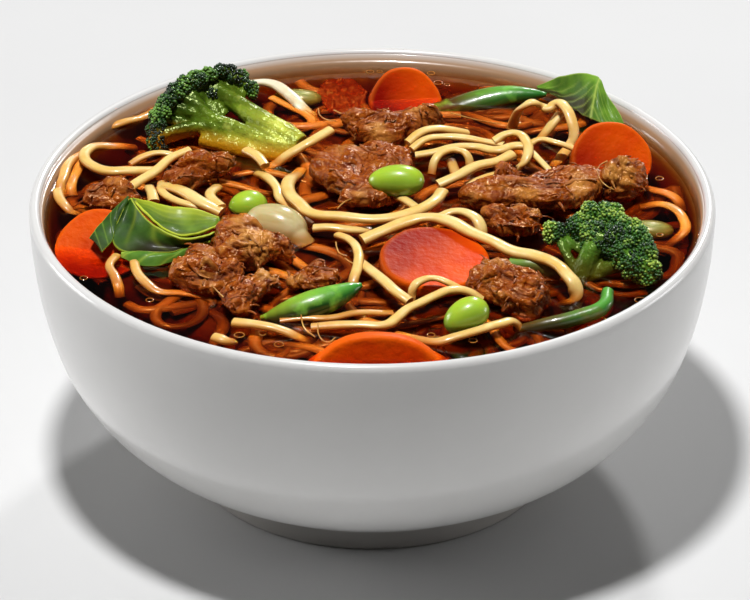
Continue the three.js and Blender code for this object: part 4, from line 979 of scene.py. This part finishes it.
RIGHT_CROWN = {
    "rows": [[(50.4, -19.6, 4.8), (54, -17.6, 7.4), (58, -18.2, 7.6), (61.8, -22.6, 6.4), (65.2, -28, 4.2),
              (66.6, -33, 1)],
             [(54.6, -24.5, 5.8), (60, -26.6, 5.6), (64, -32, 2.6)], [(44.6, -21, 5.6), (44.9, -21.2, 5.5)]],
    "counts": [7, 4, 1], "radii": [4.1, 4.2, 2.7], "inside": (56, -28, 0), "opening": 0.9, "branch": 0.3,
}


def fibonacci_ball(count):
    """Evenly spread directions."""
    turns = np.arange(count) + 0.5
    height = 1 - 2 * turns / count
    around = math.pi * (1 + 5 ** 0.5) * turns
    flat = np.sqrt(1 - height ** 2)
    return np.column_stack([np.cos(around) * flat, np.sin(around) * flat, height])


def bud_crown(crown, seed):
    """The knobs of a crown and the buds that cover them: (centres, radii) of each, in mm."""
    draw = np.random.default_rng(seed)
    lumps = []
    for row, count, radius in zip(crown["rows"], crown["counts"], crown["radii"]):
        for number, centre in enumerate(smooth_line(row, max(count, 2))[:count]):
            size = radius * (0.86 + 0.2 * math.sin(math.pi * (number + 0.5) / count))
            lumps.append((centre, size))
    knobs = []
    for centre, size in lumps:
        knob = size * KNOB_SHARE
        inward = np.array(crown["inside"]) - centre
        inward /= np.linalg.norm(inward)
        for way in fibonacci_ball(KNOBS_PER_LUMP):
            way = way + draw.normal(0, 0.16, 3)
            way /= np.linalg.norm(way)
            spot = centre + way * (size - knob * 0.75)
            buried = any(
                np.linalg.norm(spot - other) < other_size * 0.72 for other, other_size in lumps
                if other is not centre)
            if not buried and way @ inward < crown["opening"]:
                knobs.append((spot, knob * draw.uniform(*KNOB_SIZES)))
    knob_places = np.array([spot for spot, _ in knobs])
    knob_sizes = np.array([size for _, size in knobs])
    buds = []
    for spot, size in knobs:
        count = int(4 * math.pi * size ** 2 / BUD_SPACING ** 2)
        for way in fibonacci_ball(count):
            way = way + draw.normal(0, 0.1, 3)
            bud = spot + way / np.linalg.norm(way) * size
            gaps = np.linalg.norm(knob_places - bud, axis=1) / knob_sizes
            if np.sort(gaps)[1] > 1.02:
                buds.append((bud, BUD_RADIUS * draw.uniform(*BUD_SIZES)))
    return lumps, knobs, buds


def repeated(name, shape, places, sizes, tones=None):
    """One mesh of the same small shape set at many places with their own sizes, in mm, and tones."""
    corners = np.array([vertex.co for vertex in shape.data.vertices])
    triangles = np.array([face.vertices for face in shape.data.polygons])
    places, sizes = np.array(places), np.array(sizes)
    points = (corners[None] * sizes[:, None, None] + places[:, None]).reshape(-1, 3)
    points[:, 2] += BROTH_LEVEL
    faces = (triangles[None] + (np.arange(len(places)) * len(corners))[:, None, None]).reshape(-1, 3)
    mesh = bpy.data.meshes.new(name)
    mesh.from_pydata((points * MM).tolist(), [], faces.tolist())
    piece = bpy.data.objects.new(name, mesh)
    bpy.context.collection.objects.link(piece)
    if tones:
        keep_values(piece, "tone", np.repeat(np.array(tones, float), len(corners)))
    mesh.shade_smooth()
    return piece


def joined(name, pieces):
    """Several meshes made into one piece."""
    bpy.ops.object.select_all(action="DESELECT")
    for piece in pieces:
        piece.select_set(True)
    bpy.context.view_layer.objects.active = pieces[0]
    bpy.ops.object.join()
    whole = bpy.context.object
    whole.name = name
    return whole


def floret(name, node, stems, stem_sizes, crown, seed, stem_finish, bud_finish):
    """One floret: its stems melted into one body, its knobs, and its coat of buds."""
    lumps, knobs, buds = bud_crown(crown, seed)
    lines = list(zip(stems, stem_sizes))
    inside = crown["inside"]
    for centre, size in lumps:
        middle = [(a * 0.4 + b * 0.6) for a, b in zip(inside, centre)]
        branch = size * crown["branch"]
        lines.append(([inside, middle, tuple(centre)], [branch, branch * 1.2, branch * 1.8]))
    body = along_lines(name, lines, 1.0)
    ball = begun("knob_shape", bpy.ops.mesh.primitive_ico_sphere_add, subdivisions=2, radius=1)
    knob_mass = repeated(
        "knob_mass", ball, [spot for spot, _ in knobs], [size * 0.94 for _, size in knobs])
    body = joined(name, [body, knob_mass])
    remeshed(body, STEM_GRAIN, 3)
    bpy.data.objects.remove(ball)
    cut_end = np.array(stems[0][0]) + (0, 0, BROTH_LEVEL)
    keep_values(body, "reach", [
        np.linalg.norm(np.array(vertex.co) / MM - cut_end) / FLORET_REACH for vertex in body.data.vertices])
    draw = random.Random(seed)
    tones = [
        0.5 * draw.random() + 0.3 + 0.9 * noise.noise(Vector(spot) * 0.16) for spot, _ in buds]
    bud_shape = begun("bud_shape", bpy.ops.mesh.primitive_ico_sphere_add, subdivisions=1, radius=1)
    coat = repeated(
        name + "_buds", bud_shape, [spot for spot, _ in buds], [size for _, size in buds], tones)
    bpy.data.objects.remove(bud_shape)
    body.data.materials.append(stem_finish)
    coat.data.materials.append(bud_finish)
    kept(body, "broccoli", node)
    kept(coat, "broccoli", node)


def bud_material(name, dark, light, highlight_tone):
    """Waxy buds, each of its own tone, with painted shade underneath and painted highlight on the brightest.
    """
    finish, tree, shader = new_finish(name, roughness=0.42, coat_weight=0.45, coat_roughness=0.1)
    tone = value_kept(tree, "tone")
    bud = blend(tree, ranged(tree, tone, 0.1, 0.7), tint(*dark), tint(*light))
    # Painted highlight: the brightest tones take the pale lime colour.
    bright = blend(tree, ranged(tree, tone, 0.62, 0.95), bud, tint(*highlight_tone))
    # Painted shade: buds that face downward take the dark colour.
    dress(tree, shader, blend(tree, up_mask(tree, -0.6, 0.5), tint(*dark), bright))
    return finish


def run_of_colour(tree, share, first, middle, last):
    """A colour that changes along a piece: its start, its middle and its end."""
    early = blend(tree, ranged(tree, share, 0.15, 0.55), tint(*first), tint(*middle))
    return blend(tree, ranged(tree, share, 0.5, 0.95), early, tint(*last))


def streak_mask(tree, heading, fineness):
    """Long uneven lines that run one way, given in degrees, as a mask from 0 to 1."""
    turned_place = add_node(
        tree, "ShaderNodeMapping",
        {"Vector": place_in(tree), "Rotation": (0, 0, -math.radians(heading))})
    drawn_out = add_node(
        tree, "ShaderNodeVectorMath", {0: turned_place.outputs["Vector"], 1: (0.12, 1, 1)},
        operation="MULTIPLY")
    lines = add_node(
        tree, "ShaderNodeTexNoise",
        {"Vector": drawn_out.outputs["Vector"], "Scale": fineness, "Detail": 3.0})
    return ranged(tree, lines.outputs["Fac"], 0.42, 0.6)


def stem_material(name, pale, green, dark, wet):
    """Stems running pale to dark from cut to crown, streaked, soaked low, with painted glints and shade."""
    finish, tree, shader = new_finish(
        name, roughness=0.26, specular_ior_level=0.6, specular_tint=(0.75, 0.9, 0.35, 1),
        subsurface_weight=0.08, subsurface_scale=0.001)
    reach = value_kept(tree, "reach")
    plain = run_of_colour(tree, reach, pale, green, dark)
    deeper = run_of_colour(
        tree, reach, *[[share * 0.76 for share in colour] for colour in (pale, green, dark)])
    skin = blend(tree, streak_mask(tree, STEM_HEADING, 420.0), deeper, plain)
    fading = ranged(tree, reach, 0.35, 0.7, 1.0, 0.0)
    # Painted glints: pale flecks on the lower stems.
    glint_fleck = math_of(
        tree, "MULTIPLY", fading, add_group(tree, MOTTLE, Scale=210.0, Low=0.55, High=0.75))
    glint_flecked = blend(tree, glint_fleck, skin, tint(*[min(255, share + 36) for share in pale]))
    # Painted shade: the undersides take a darker green.
    below = tint(*[share * 0.66 for share in green])
    shaded = blend(tree, up_mask(tree, -0.5, 0.4), below, glint_flecked)
    dress(
        tree, shader, blend(tree, rise_mask(tree, 0.8, 5.2), shaded, tint(*wet)), (520.0, 0.0009, 0.7))
    return finish


floret(
    "floret_left", "broccoli_left", LEFT_STEMS, LEFT_STEM_SIZES, LEFT_CROWN, 4,
    stem_material("pale_stem", (198, 204, 76), (122, 150, 42), (26, 56, 18), (208, 138, 24)),
    bud_material("dark_buds", (12, 30, 12), (42, 82, 28), (110, 158, 56)))
floret(
    "floret_right", "broccoli_right", RIGHT_STEMS, RIGHT_STEM_SIZES, RIGHT_CROWN, 9,
    stem_material("green_stem", (86, 116, 40), (92, 138, 46), (44, 88, 28), (84, 84, 26)),
    bud_material("bright_buds", (18, 48, 14), (64, 120, 38), (176, 204, 80)))

# ---- the soybeans --------------------------------------------------------------------------
# Shelled green soybeans, boiled: smooth wet skins, a little flat on one side along the seam.
# Two have sunk into the broth and taken its brown.

BEANS = {
    "soybean_centre": {"at": (6, 5.4, 6), "radii": (7.1, 4.3, 4.1), "heading": -6, "tilt": 4},
    "soybean_front": {"at": (22.4, -58.4, 3.2), "radii": (5.8, 4.3, 4.2), "heading": 20, "tilt": 22},
    "soybean_left": {"at": (-31, 4.4, -0.8), "radii": (5, 4.3, 4.2), "heading": 10, "tilt": 0},
}
SUNKEN_BEANS = {
    "sunken_bean_back": {"at": (-19.5, 67, -3.6), "radii": (6.6, 4.3, 3.4), "heading": -12, "tilt": 0},
    "sunken_bean_right": {"at": (68.6, -6, -3.5), "radii": (6.4, 4.3, 3.3), "heading": -8, "tilt": 0},
}


def bean(name, at, radii, heading, tilt):
    """A rounded body, a little flatter along one side and fuller at one end."""
    piece = begun(name, bpy.ops.mesh.primitive_uv_sphere_add, segments=40, ring_count=24, radius=1)
    for vertex in piece.data.vertices:
        x, y, z = vertex.co
        flat = 1 - 0.1 * max(0, -y) ** 2 * (1 - x * x)
        egg = 1 + 0.08 * x
        vertex.co = (x, y * flat * egg, z * egg)
    placed(piece, at, [radius * MM for radius in radii], roll=-tilt, heading=heading)
    bpy.ops.object.shade_smooth()
    return piece


def bean_material(name, under, upper, patch):
    """A smooth wet skin with painted shade underneath."""
    finish, tree, shader = new_finish(
        name, roughness=0.36, coat_weight=0.7, coat_roughness=0.1, subsurface_weight=0.12,
        subsurface_scale=0.0015)
    # Painted shade: the skin darkens as it turns downward.
    skin = blend(tree, up_mask(tree, -0.5, 0.75), tint(*under), tint(*upper))
    colour = blend(tree, add_group(tree, MOTTLE, Scale=160.0, Low=0.4, High=0.9), skin, tint(*patch))
    dress(tree, shader, colour, (260.0, 0.0003, 0.15))
    return finish


fresh_skin = bean_material("green_bean_skin", (92, 148, 44), (174, 208, 52), (156, 202, 66))
soaked_skin = bean_material("soaked_bean_skin", (88, 84, 40), (132, 140, 84), (124, 124, 72))
for name, values in {**BEANS, **SUNKEN_BEANS}.items():
    piece = bean(name.replace("soybean", "bean"), **values)
    piece.data.materials.append(fresh_skin if name in BEANS else soaked_skin)
    kept(piece, "soybean", *([name] if name in BEANS else []))

# ---- the pods, stalks and sprout -----------------------------------------------------------
# Pointed green pods, a bent stalk, a cut stalk end and a pale flat sprout: thin wet skins
# with fine lines along them.


def pod_sizes(thick, tip, count, start=0.3):
    """Half widths of a pod up to its pointed tip; start is how far it has swelled at its stalk."""
    shares = [start + (1 - start) * step / (count - 1) for step in range(count)]
    return [tip + (thick - tip) * math.sin(math.pi * min(1, share)) ** 0.8 for share in shares]


def skin_material(name, light, dark):
    """A wet skin painted lit above, shaded below; light and dark hold its start, middle and end colours."""
    finish, tree, shader = new_finish(
        name, roughness=0.34, coat_weight=0.6, coat_roughness=0.07, subsurface_weight=0.08,
        subsurface_scale=0.001)
    share = value_kept(tree, "along")
    lit = run_of_colour(tree, share, *light)
    shaded = run_of_colour(tree, share, *dark)
    # Painted light and shade: the upper side takes the lit colours, the lower side the shaded ones.
    skin = blend(tree, up_mask(tree, 0.4, 0.95), shaded, lit)
    paler = tuple(min(255, value * 1.12 + 8) for value in light[1])
    colour = blend(tree, add_group(tree, MOTTLE, Scale=150.0, Low=0.55, High=0.72), skin, tint(*paler))
    dress(tree, shader, colour, (480.0, 0.0003, 0.35))
    return finish


STEMS = {
    "pod_back": {
        "line": smooth_line([(17, 61, -4.6), (27, 63, -1.6), (36, 63.5, 0.6), (45.5, 62.5, 1.6)], 12),
        "sizes": pod_sizes(4, 0.6, 12), "flat": 0.9,
        "light": ((88, 64, 24), (104, 170, 56), (48, 126, 40)),
        "dark": ((70, 48, 18), (44, 96, 32), (28, 92, 30)),
    },
    "pod_front": {
        "line": smooth_line([(-26.5, -52, -1.8), (-18, -51.5, 1), (-9.5, -49, 3), (-2.6, -45.5, 4.6)], 12),
        "sizes": pod_sizes(3.8, 0.7, 12, 0.02), "flat": 0.9,
        "light": ((150, 176, 48), (128, 190, 62), (74, 158, 58)),
        "dark": ((66, 70, 20), (22, 62, 22), (34, 104, 38)),
    },
    "stalk_corner": {
        "line": [(56.5, -48, 4), (55, -54, 3.2), (49, -56.5, 1.8), (41, -58, 0.4), (34, -57, -2)],
        "sizes": [1.5, 1.8, 1.9, 1.8, 1.5], "flat": 1,
        "light": ((92, 164, 64), (92, 92, 36), (98, 70, 28)),
        "dark": ((46, 110, 40), (50, 58, 22), (58, 38, 16)),
    },
    "stalk_end": {
        "line": [(34, -29, 0.6), (40, -31, 1.6), (46, -33.5, 0)], "sizes": [2.5, 2.05, 1.6], "flat": 1,
        "light": ((124, 164, 62), (132, 128, 52), (136, 96, 40)),
        "dark": ((70, 96, 34), (84, 70, 26), (84, 52, 20)),
    },
    "sprout": {
        "line": [(-33, 71, 0.8), (-27, 69.5, 1.4), (-22, 64, 1), (-18, 58.5, -0.6), (-15, 56, -3)],
        "sizes": [1.0, 1.6, 1.8, 1.6, 1.0], "flat": 0.5,
        "light": ((246, 240, 214), (240, 226, 188), (222, 184, 120)),
        "dark": ((212, 190, 140), (200, 164, 104), (170, 112, 50)),
    },
}
for node, stem in STEMS.items():
    piece = along_lines(node + "_skin", [(stem["line"], stem["sizes"])], stem["flat"], sides=6, steps=8)
    start, stop = stem["line"][0][0], stem["line"][-1][0]
    keep_values(piece, "along", [
        (vertex.co.x / MM - start) / (stop - start) for vertex in piece.data.vertices])
    piece.data.materials.append(skin_material(node + "_finish", stem["light"], stem["dark"]))
    slot = "pod" if "pod" in node else "sprout" if node == "sprout" else "stalk"
    kept(piece, slot, node)

# ---- the onion bulb ------------------------------------------------------------------------
# The white bulb of a spring onion: a rounded body of thin moist layers, faintly lined along
# its length and drawn together at the neck.

BULB = {"at": (-23.6, -9, 1), "radii": (8.2, 5.6, 5.4), "heading": -24, "tilt": -8}
NECK = [(-23, -10.5, 0.6), (-20.4, -11.6, 0.4), (-18, -13, -0.6), (-16, -14.6, -2.6)]
NECK_SIZES = [3.6, 3.2, 2.9, 2.7]
BULB_GRAIN = 0.35

dome = bean("bulb_dome", **BULB)
neck = along_lines("bulb_neck", [(NECK, NECK_SIZES)], 1.0, sides=6, steps=8)
bulb = joined("onion_bulb", [dome, neck])
remeshed(bulb, BULB_GRAIN, 6)
finish, tree, shader = new_finish(
    "onion_layers", roughness=0.3, coat_weight=0.5, coat_roughness=0.08, subsurface_weight=0.3,
    subsurface_scale=0.002)
layers = blend(tree, streak_mask(tree, BULB["heading"], 260.0), tint(198, 182, 124), tint(228, 216, 170))
# Painted shade: the bulb's underside takes a darker tan.
lit = blend(tree, up_mask(tree, 0.1, 0.85), tint(206, 172, 108), layers)
dress(tree, shader, blend(tree, rise_mask(tree, 0.2, 3.2), lit, tint(186, 136, 70)))
bulb.data.materials.append(finish)
kept(bulb, "bulb", "bulb")

# ---- the leaves ----------------------------------------------------------------------------
# A small rosette of thick leaves on the left, its boat-shaped heart pale and ribbed, and a
# folded leaf at the right: waxy blades with thin pale edges, dark where the broth soaks them
# and where shade is painted into their hollows and lower flaps.

LEAVES = {
    "leaf_behind": {
        "edges": [[(-60, -9.4, 9.5), (-63.3, -11.6, 7.2), (-66.9, -15.6, 4.8), (-69.2, -19.4, 3)],
                  [(-60.2, -10.8, 9), (-62.6, -15, 6), (-63.6, -20.2, 3.2), (-66, -24.4, 2)]],
        "arch": lambda u, v: (0, 0, 0.5 * math.sin(math.pi * u)),
        "veins": lambda u, v: 0.3 * rib(v * 5 - u),
        "soak_and_shade": lambda u, v: max(0, v - 0.75) * 2,
        "colours": ((62, 98, 30), (36, 62, 20), (150, 184, 62), (50, 52, 18)),
    },
    "leaf_folded": {
        "edges": [[(-60, -10, 9.3), (-62.4, -14.8, 6), (-63.7, -19.4, 3.2), (-61.6, -23.4, 2),
                   (-55, -24.6, 2), (-48.6, -24.2, 2), (-43, -20.8, 2), (-39.8, -18.6, 2)],
                  [(-59.4, -9.8, 9.4), (-57.6, -13.6, 8.4), (-55, -18, 7.4), (-51.4, -21, 6.6),
                   (-47.6, -22.9, 5.7), (-44, -22.6, 5), (-41, -19.6, 4.2), (-38.8, -16, 3.4)]],
        "arch": lambda u, v: (
            0, 1.6 * math.sin(math.pi * u) * math.sin(math.pi * v), -0.8 * math.sin(math.pi * u)),
        "veins": lambda u, v: (
            0.35 * rib(v * 4.2 + u * 1.5) * u + 0.7 * smooth_step(0.86, 1.0, u) * smooth_step(0.3, 0.5, v)),
        "soak_and_shade": lambda u, v: smooth_step(0.3, 0.55, v) * smooth_step(0.86, 0.45, u),
        "colours": ((70, 106, 34), (36, 64, 20), (176, 192, 54), (40, 38, 12)),
    },
    "leaf_light": {
        "edges": [[(-59.3, -3.5, 6), (-55.9, -5.4, 6.4), (-50.8, -8, 6.4), (-46.7, -8.6, 6),
                   (-42.7, -8.6, 5.4), (-37.8, -9.8, 4)],
                  [(-58.5, -5.5, 6), (-55.6, -12, 6.4), (-51.2, -19.6, 6.4), (-46.2, -22, 5.6),
                   (-41.6, -18.4, 4.6), (-37.8, -12.6, 3.6)]],
        "arch": lambda u, v: (0, 0, -3 * math.sin(math.pi * u) * math.sin(math.pi * v) ** 0.5),
        "veins": lambda u, v: abs(u * 2 - 1) ** 3 + 0.25 * rib(u * 9),
        "soak_and_shade": lambda u, v: 0.7 * smooth_step(0.45, 0.8, u) * smooth_step(0.98, 0.86, u),
        "colours": ((108, 140, 40), (72, 100, 28), (184, 198, 52), (66, 66, 18)),
    },
    "leaf_low": {
        "edges": [[(-61.2, -24, 1.6), (-58.8, -24.6, 2.2), (-55.1, -25.8, 2.6), (-50, -26.4, 2.6),
                   (-44.3, -22.8, 2.2)],
                  [(-61.2, -24.8, 1), (-58.6, -27, 0.8), (-55, -29.2, 0.8), (-50, -28, 0.9),
                   (-44.7, -24.4, 1.4)]],
        "arch": lambda u, v: (0, 0, 0.7 * math.sin(math.pi * u)),
        "veins": lambda u, v: 0.45 * rib(v * 3 + u) + smooth_step(0.22, 0.0, v),
        "soak_and_shade": lambda u, v: 0,
        "colours": ((104, 148, 50), (72, 114, 36), (168, 196, 72), (70, 90, 34)),
    },
    "leaf_right": {
        "edges": [[(43.1, 66.4, 2), (46.7, 64.9, 4.5), (49.9, 62.5, 7), (54.1, 60, 9), (57, 58.1, 9.4),
                   (58.8, 56.5, 9.4), (59.8, 54.2, 7.5), (61, 52.2, 6.2), (62.6, 49.5, 4.8), (64, 47.2, 3.2),
                   (64.8, 44.8, 2)],
                  [(43.4, 65.4, 1.6), (47, 62.6, 1.2), (50.4, 59, 1), (52.8, 55, 1), (54.8, 51.2, 1.2),
                   (56.5, 47.5, 2.2), (58.7, 45.6, 2.2), (60.4, 45, 2), (61.8, 44.8, 2), (63.2, 44.6, 1.8),
                   (64.4, 44, 1.4)]],
        "arch": lambda u, v: (0, 0, math.sin(math.pi * u) * (
            1.2 * math.sin(math.pi * v) ** 8 - 0.9 * math.sin(math.tau * v) ** 2)),
        "veins": lambda u, v: (
            math.exp(-((v - 0.5) / 0.012) ** 2)
            + 0.5 * rib(u * 4 - abs(v - 0.5) * 9) * smooth_step(0.1, 0.4, u)),
        "soak_and_shade": lambda u, v: smooth_step(0.45, 0.7, u) * smooth_step(0.56, 0.4, v),
        "colours": ((116, 162, 50), (72, 112, 32), (166, 190, 84), (56, 58, 20)),
    },
}
LEAF_THICKNESS = 0.55
LEAF_ACROSS = 28
LEAF_ALONG = 90
EDGE_SHARE = 0.95


def rib(turns):
    """A narrow ridge once each turn, from 0 to 1."""
    return (0.5 + 0.5 * math.cos(math.tau * turns)) ** 10


def smooth_step(start, end, value):
    """Goes smoothly from 0 at the start to 1 at the end, which may be the lower one."""
    share = min(1, max(0, (value - start) / (end - start)))
    return share * share * (3 - 2 * share)


def line_through(points, count):
    """Points on a smooth line at even steps from each given point to the next."""
    stops = np.array([points[0], *points, points[-1]], float)
    line = []
    for share in np.linspace(0, len(points) - 1, count + 1):
        i = min(int(share), len(points) - 2) + 1
        line.append(between(stops, i, share - (i - 1)))
    return np.array(line)


def leaf_material(name, light, dark, vein, deeper_tone):
    """A matt waxy blade with its veins and edges paler, darker where soaked and where shade is painted."""
    finish, tree, shader = new_finish(
        name, roughness=0.58, coat_weight=0.07, coat_roughness=0.2, specular_ior_level=0.2)
    patches = blend(tree, add_group(tree, MOTTLE, Scale=150.0), tint(*dark), tint(*light))
    # Painted shade: the soak values also darken the hollows and lower flaps that lie in shade.
    wet = blend(tree, value_kept(tree, "soak_and_shade"), patches, tint(*deeper_tone))
    dress(tree, shader, blend(tree, value_kept(tree, "vein"), wet, tint(*vein)), (420.0, 0.0004, 0.45))
    return finish


def leaf(name, edges, arch, veins, soak_and_shade):
    """A blade between its two edge lines, its veins raised; veins and soak-and-shade are kept as values."""
    piece = begun(
        name, bpy.ops.mesh.primitive_grid_add, x_subdivisions=LEAF_ACROSS, y_subdivisions=LEAF_ALONG,
        size=1)
    left, right = [line_through(edge, LEAF_ALONG) for edge in edges]
    vein_values, soak_and_shade_values = [], []
    for vertex in piece.data.vertices:
        u, v = vertex.co.x + 0.5, vertex.co.y + 0.5
        row = round(v * LEAF_ALONG)
        x, y, height = left[row] + (right[row] - left[row]) * u + np.array(arch(u, v))
        ripple = 0.35 * noise.noise(Vector((x * 0.3, y * 0.3, height * 0.3)))
        vein = min(1.0, max(0.0, veins(u, v)))
        border = smooth_step(EDGE_SHARE, 1.0, abs(u - 0.5) * 2)
        vein_values.append(vein + 0.8 * border)
        soak_and_shade_values.append(soak_and_shade(u, v))
        vertex.co = (x * MM, y * MM, (BROTH_LEVEL + height + ripple - 0.22 * vein) * MM)
    keep_values(piece, "vein", vein_values)
    keep_values(piece, "soak_and_shade", soak_and_shade_values)
    modified(piece, "SOLIDIFY", thickness=LEAF_THICKNESS * MM, offset=0)
    bpy.ops.object.shade_smooth()
    return piece


for node, values in LEAVES.items():
    blade = leaf(
        node.replace("leaf", "blade"), values["edges"], values["arch"], values["veins"], values["soak_and_shade"])
    blade.data.materials.append(leaf_material(node + "_finish", *values["colours"]))
    kept(blade, "leaf", node)

# ---- the small things ----------------------------------------------------------------------
# Fine root threads of the sprouts lie on the food, and small bubbles and drops of oil float on
# the broth as thin rings.

ROOT_THREADS = [
    [(-14.1, 57, 0.3), (-13.3, 52, 0.5), (-11.4, 49.3, 0.8), (-9.3, 47.2, 1.6)],
    [(-8.7, -3, 2.6), (-7.5, -1.1, 3), (-6, 0.2, 3.4), (-4, 1.1, 3.2)],
    [(-8.9, -19.9, 2.4), (-8.6, -23.3, 2.6), (-7.6, -26.4, 2.6), (-6.1, -27, 2.4)],
    [(59.2, 17.5, 5.4), (57.2, 15.2, 5.2), (56.7, 10.5, 4.8), (58.5, 7.2, 3.8), (60.5, 6.8, 2.8)],
    [(64.2, 8.9, 1.2), (66.9, 9.3, 1), (68.6, 12, 1), (69.4, 17.7, 1.2)],
    [(-23.5, 46.2, 1.8), (-21.2, 45.7, 1.8), (-20.1, 42.6, 1.6), (-20.9, 41.2, 1.2), (-22.4, 42.3, 1.2)],
    [(55.2, -52.2, 1.4), (55.3, -55.6, 1.2), (56.7, -56.6, 1), (58.7, -54, 0.6)],
    [(-12.9, -60.1, 2.2), (-12.4, -64, 0.8), (-10.5, -65.9, 0.4), (-8.6, -64, 0.6)],
    [(-38.5, -44.5, 4), (-37.3, -46.2, 3.4), (-35.6, -48.4, 2.8)],
    [(-6.6, -28.4, 2.5), (-4.9, -30.9, 2.6), (-2.5, -31.9, 2.2)],
    [(-17, -54.5, 1.6), (-16, -60, 0.8), (-13.5, -63.5, 0.4)],
    [(20, 44, 5.6), (27, 45, 3), (33, 47.5, 0.6)],
    [(-2, 49, 4.4), (-7, 51.5, 1.5), (-10, 56, 0.3)],
]
THREAD_HALF = 0.17
BUBBLES = [
    (36, 46.5, 1.2), (37.5, 49.4, 0.9), (15.5, 78, 1.0), (64.5, -45, 1.3), (14, -62, 0.9), (15.4, -64, 1.3),
    (-53.5, -45, 0.9), (-31.5, -62, 1.2), (-26, -61.4, 0.8), (25.5, -59.5, 1.0), (-22, -66.5, 1.1),
    (23.9, -64.7, 1.0), (17.3, 72.4, 1.1), (19.6, 71.2, 0.7), (-0.6, 78.8, 1.0), (1.9, 79, 0.7),
    (71, -12, 0.8), (72.6, 18, 1.0), (-70, -34, 0.9), (-40, 66, 0.9),
]
RING_HALF = 0.13
RING_LIFT = 0.12

threads = along_lines(
    "root_threads", [(line, [THREAD_HALF] * len(line)) for line in ROOT_THREADS], 1, sides=2, steps=8)
finish, tree, shader = new_finish("fine_root", roughness=0.3, coat_weight=0.6, coat_roughness=0.06)
dress(tree, shader, blend(
    tree, add_group(tree, MOTTLE, Scale=300.0), tint(226, 176, 92), tint(176, 112, 44)))
threads.data.materials.append(finish)
kept(threads, "sprout")

bubble_pieces = []
for x, y, radius in BUBBLES:
    bubble_pieces.append(begun(
        "bubble", bpy.ops.mesh.primitive_torus_add, major_radius=radius * MM,
        minor_radius=RING_HALF * MM, major_segments=28, minor_segments=8,
        location=(x * MM, y * MM, (BROTH_LEVEL + RING_LIFT) * MM)))
    bpy.ops.object.transform_apply(location=True)
bubbles = joined("broth_bubbles", bubble_pieces)
bpy.ops.object.shade_smooth()
finish, tree, shader = new_finish("oil_ring", roughness=0.12, coat_weight=1.0, coat_roughness=0.03)
dress(tree, shader, blend(
    tree, add_group(tree, MOTTLE, Scale=300.0), tint(206, 140, 60), tint(150, 84, 30)))
bubbles.data.materials.append(finish)
kept(bubbles, "broth")

# ---- the end -------------------------------------------------------------------------------

for thing in bpy.data.objects:
    thing.select_set(False)
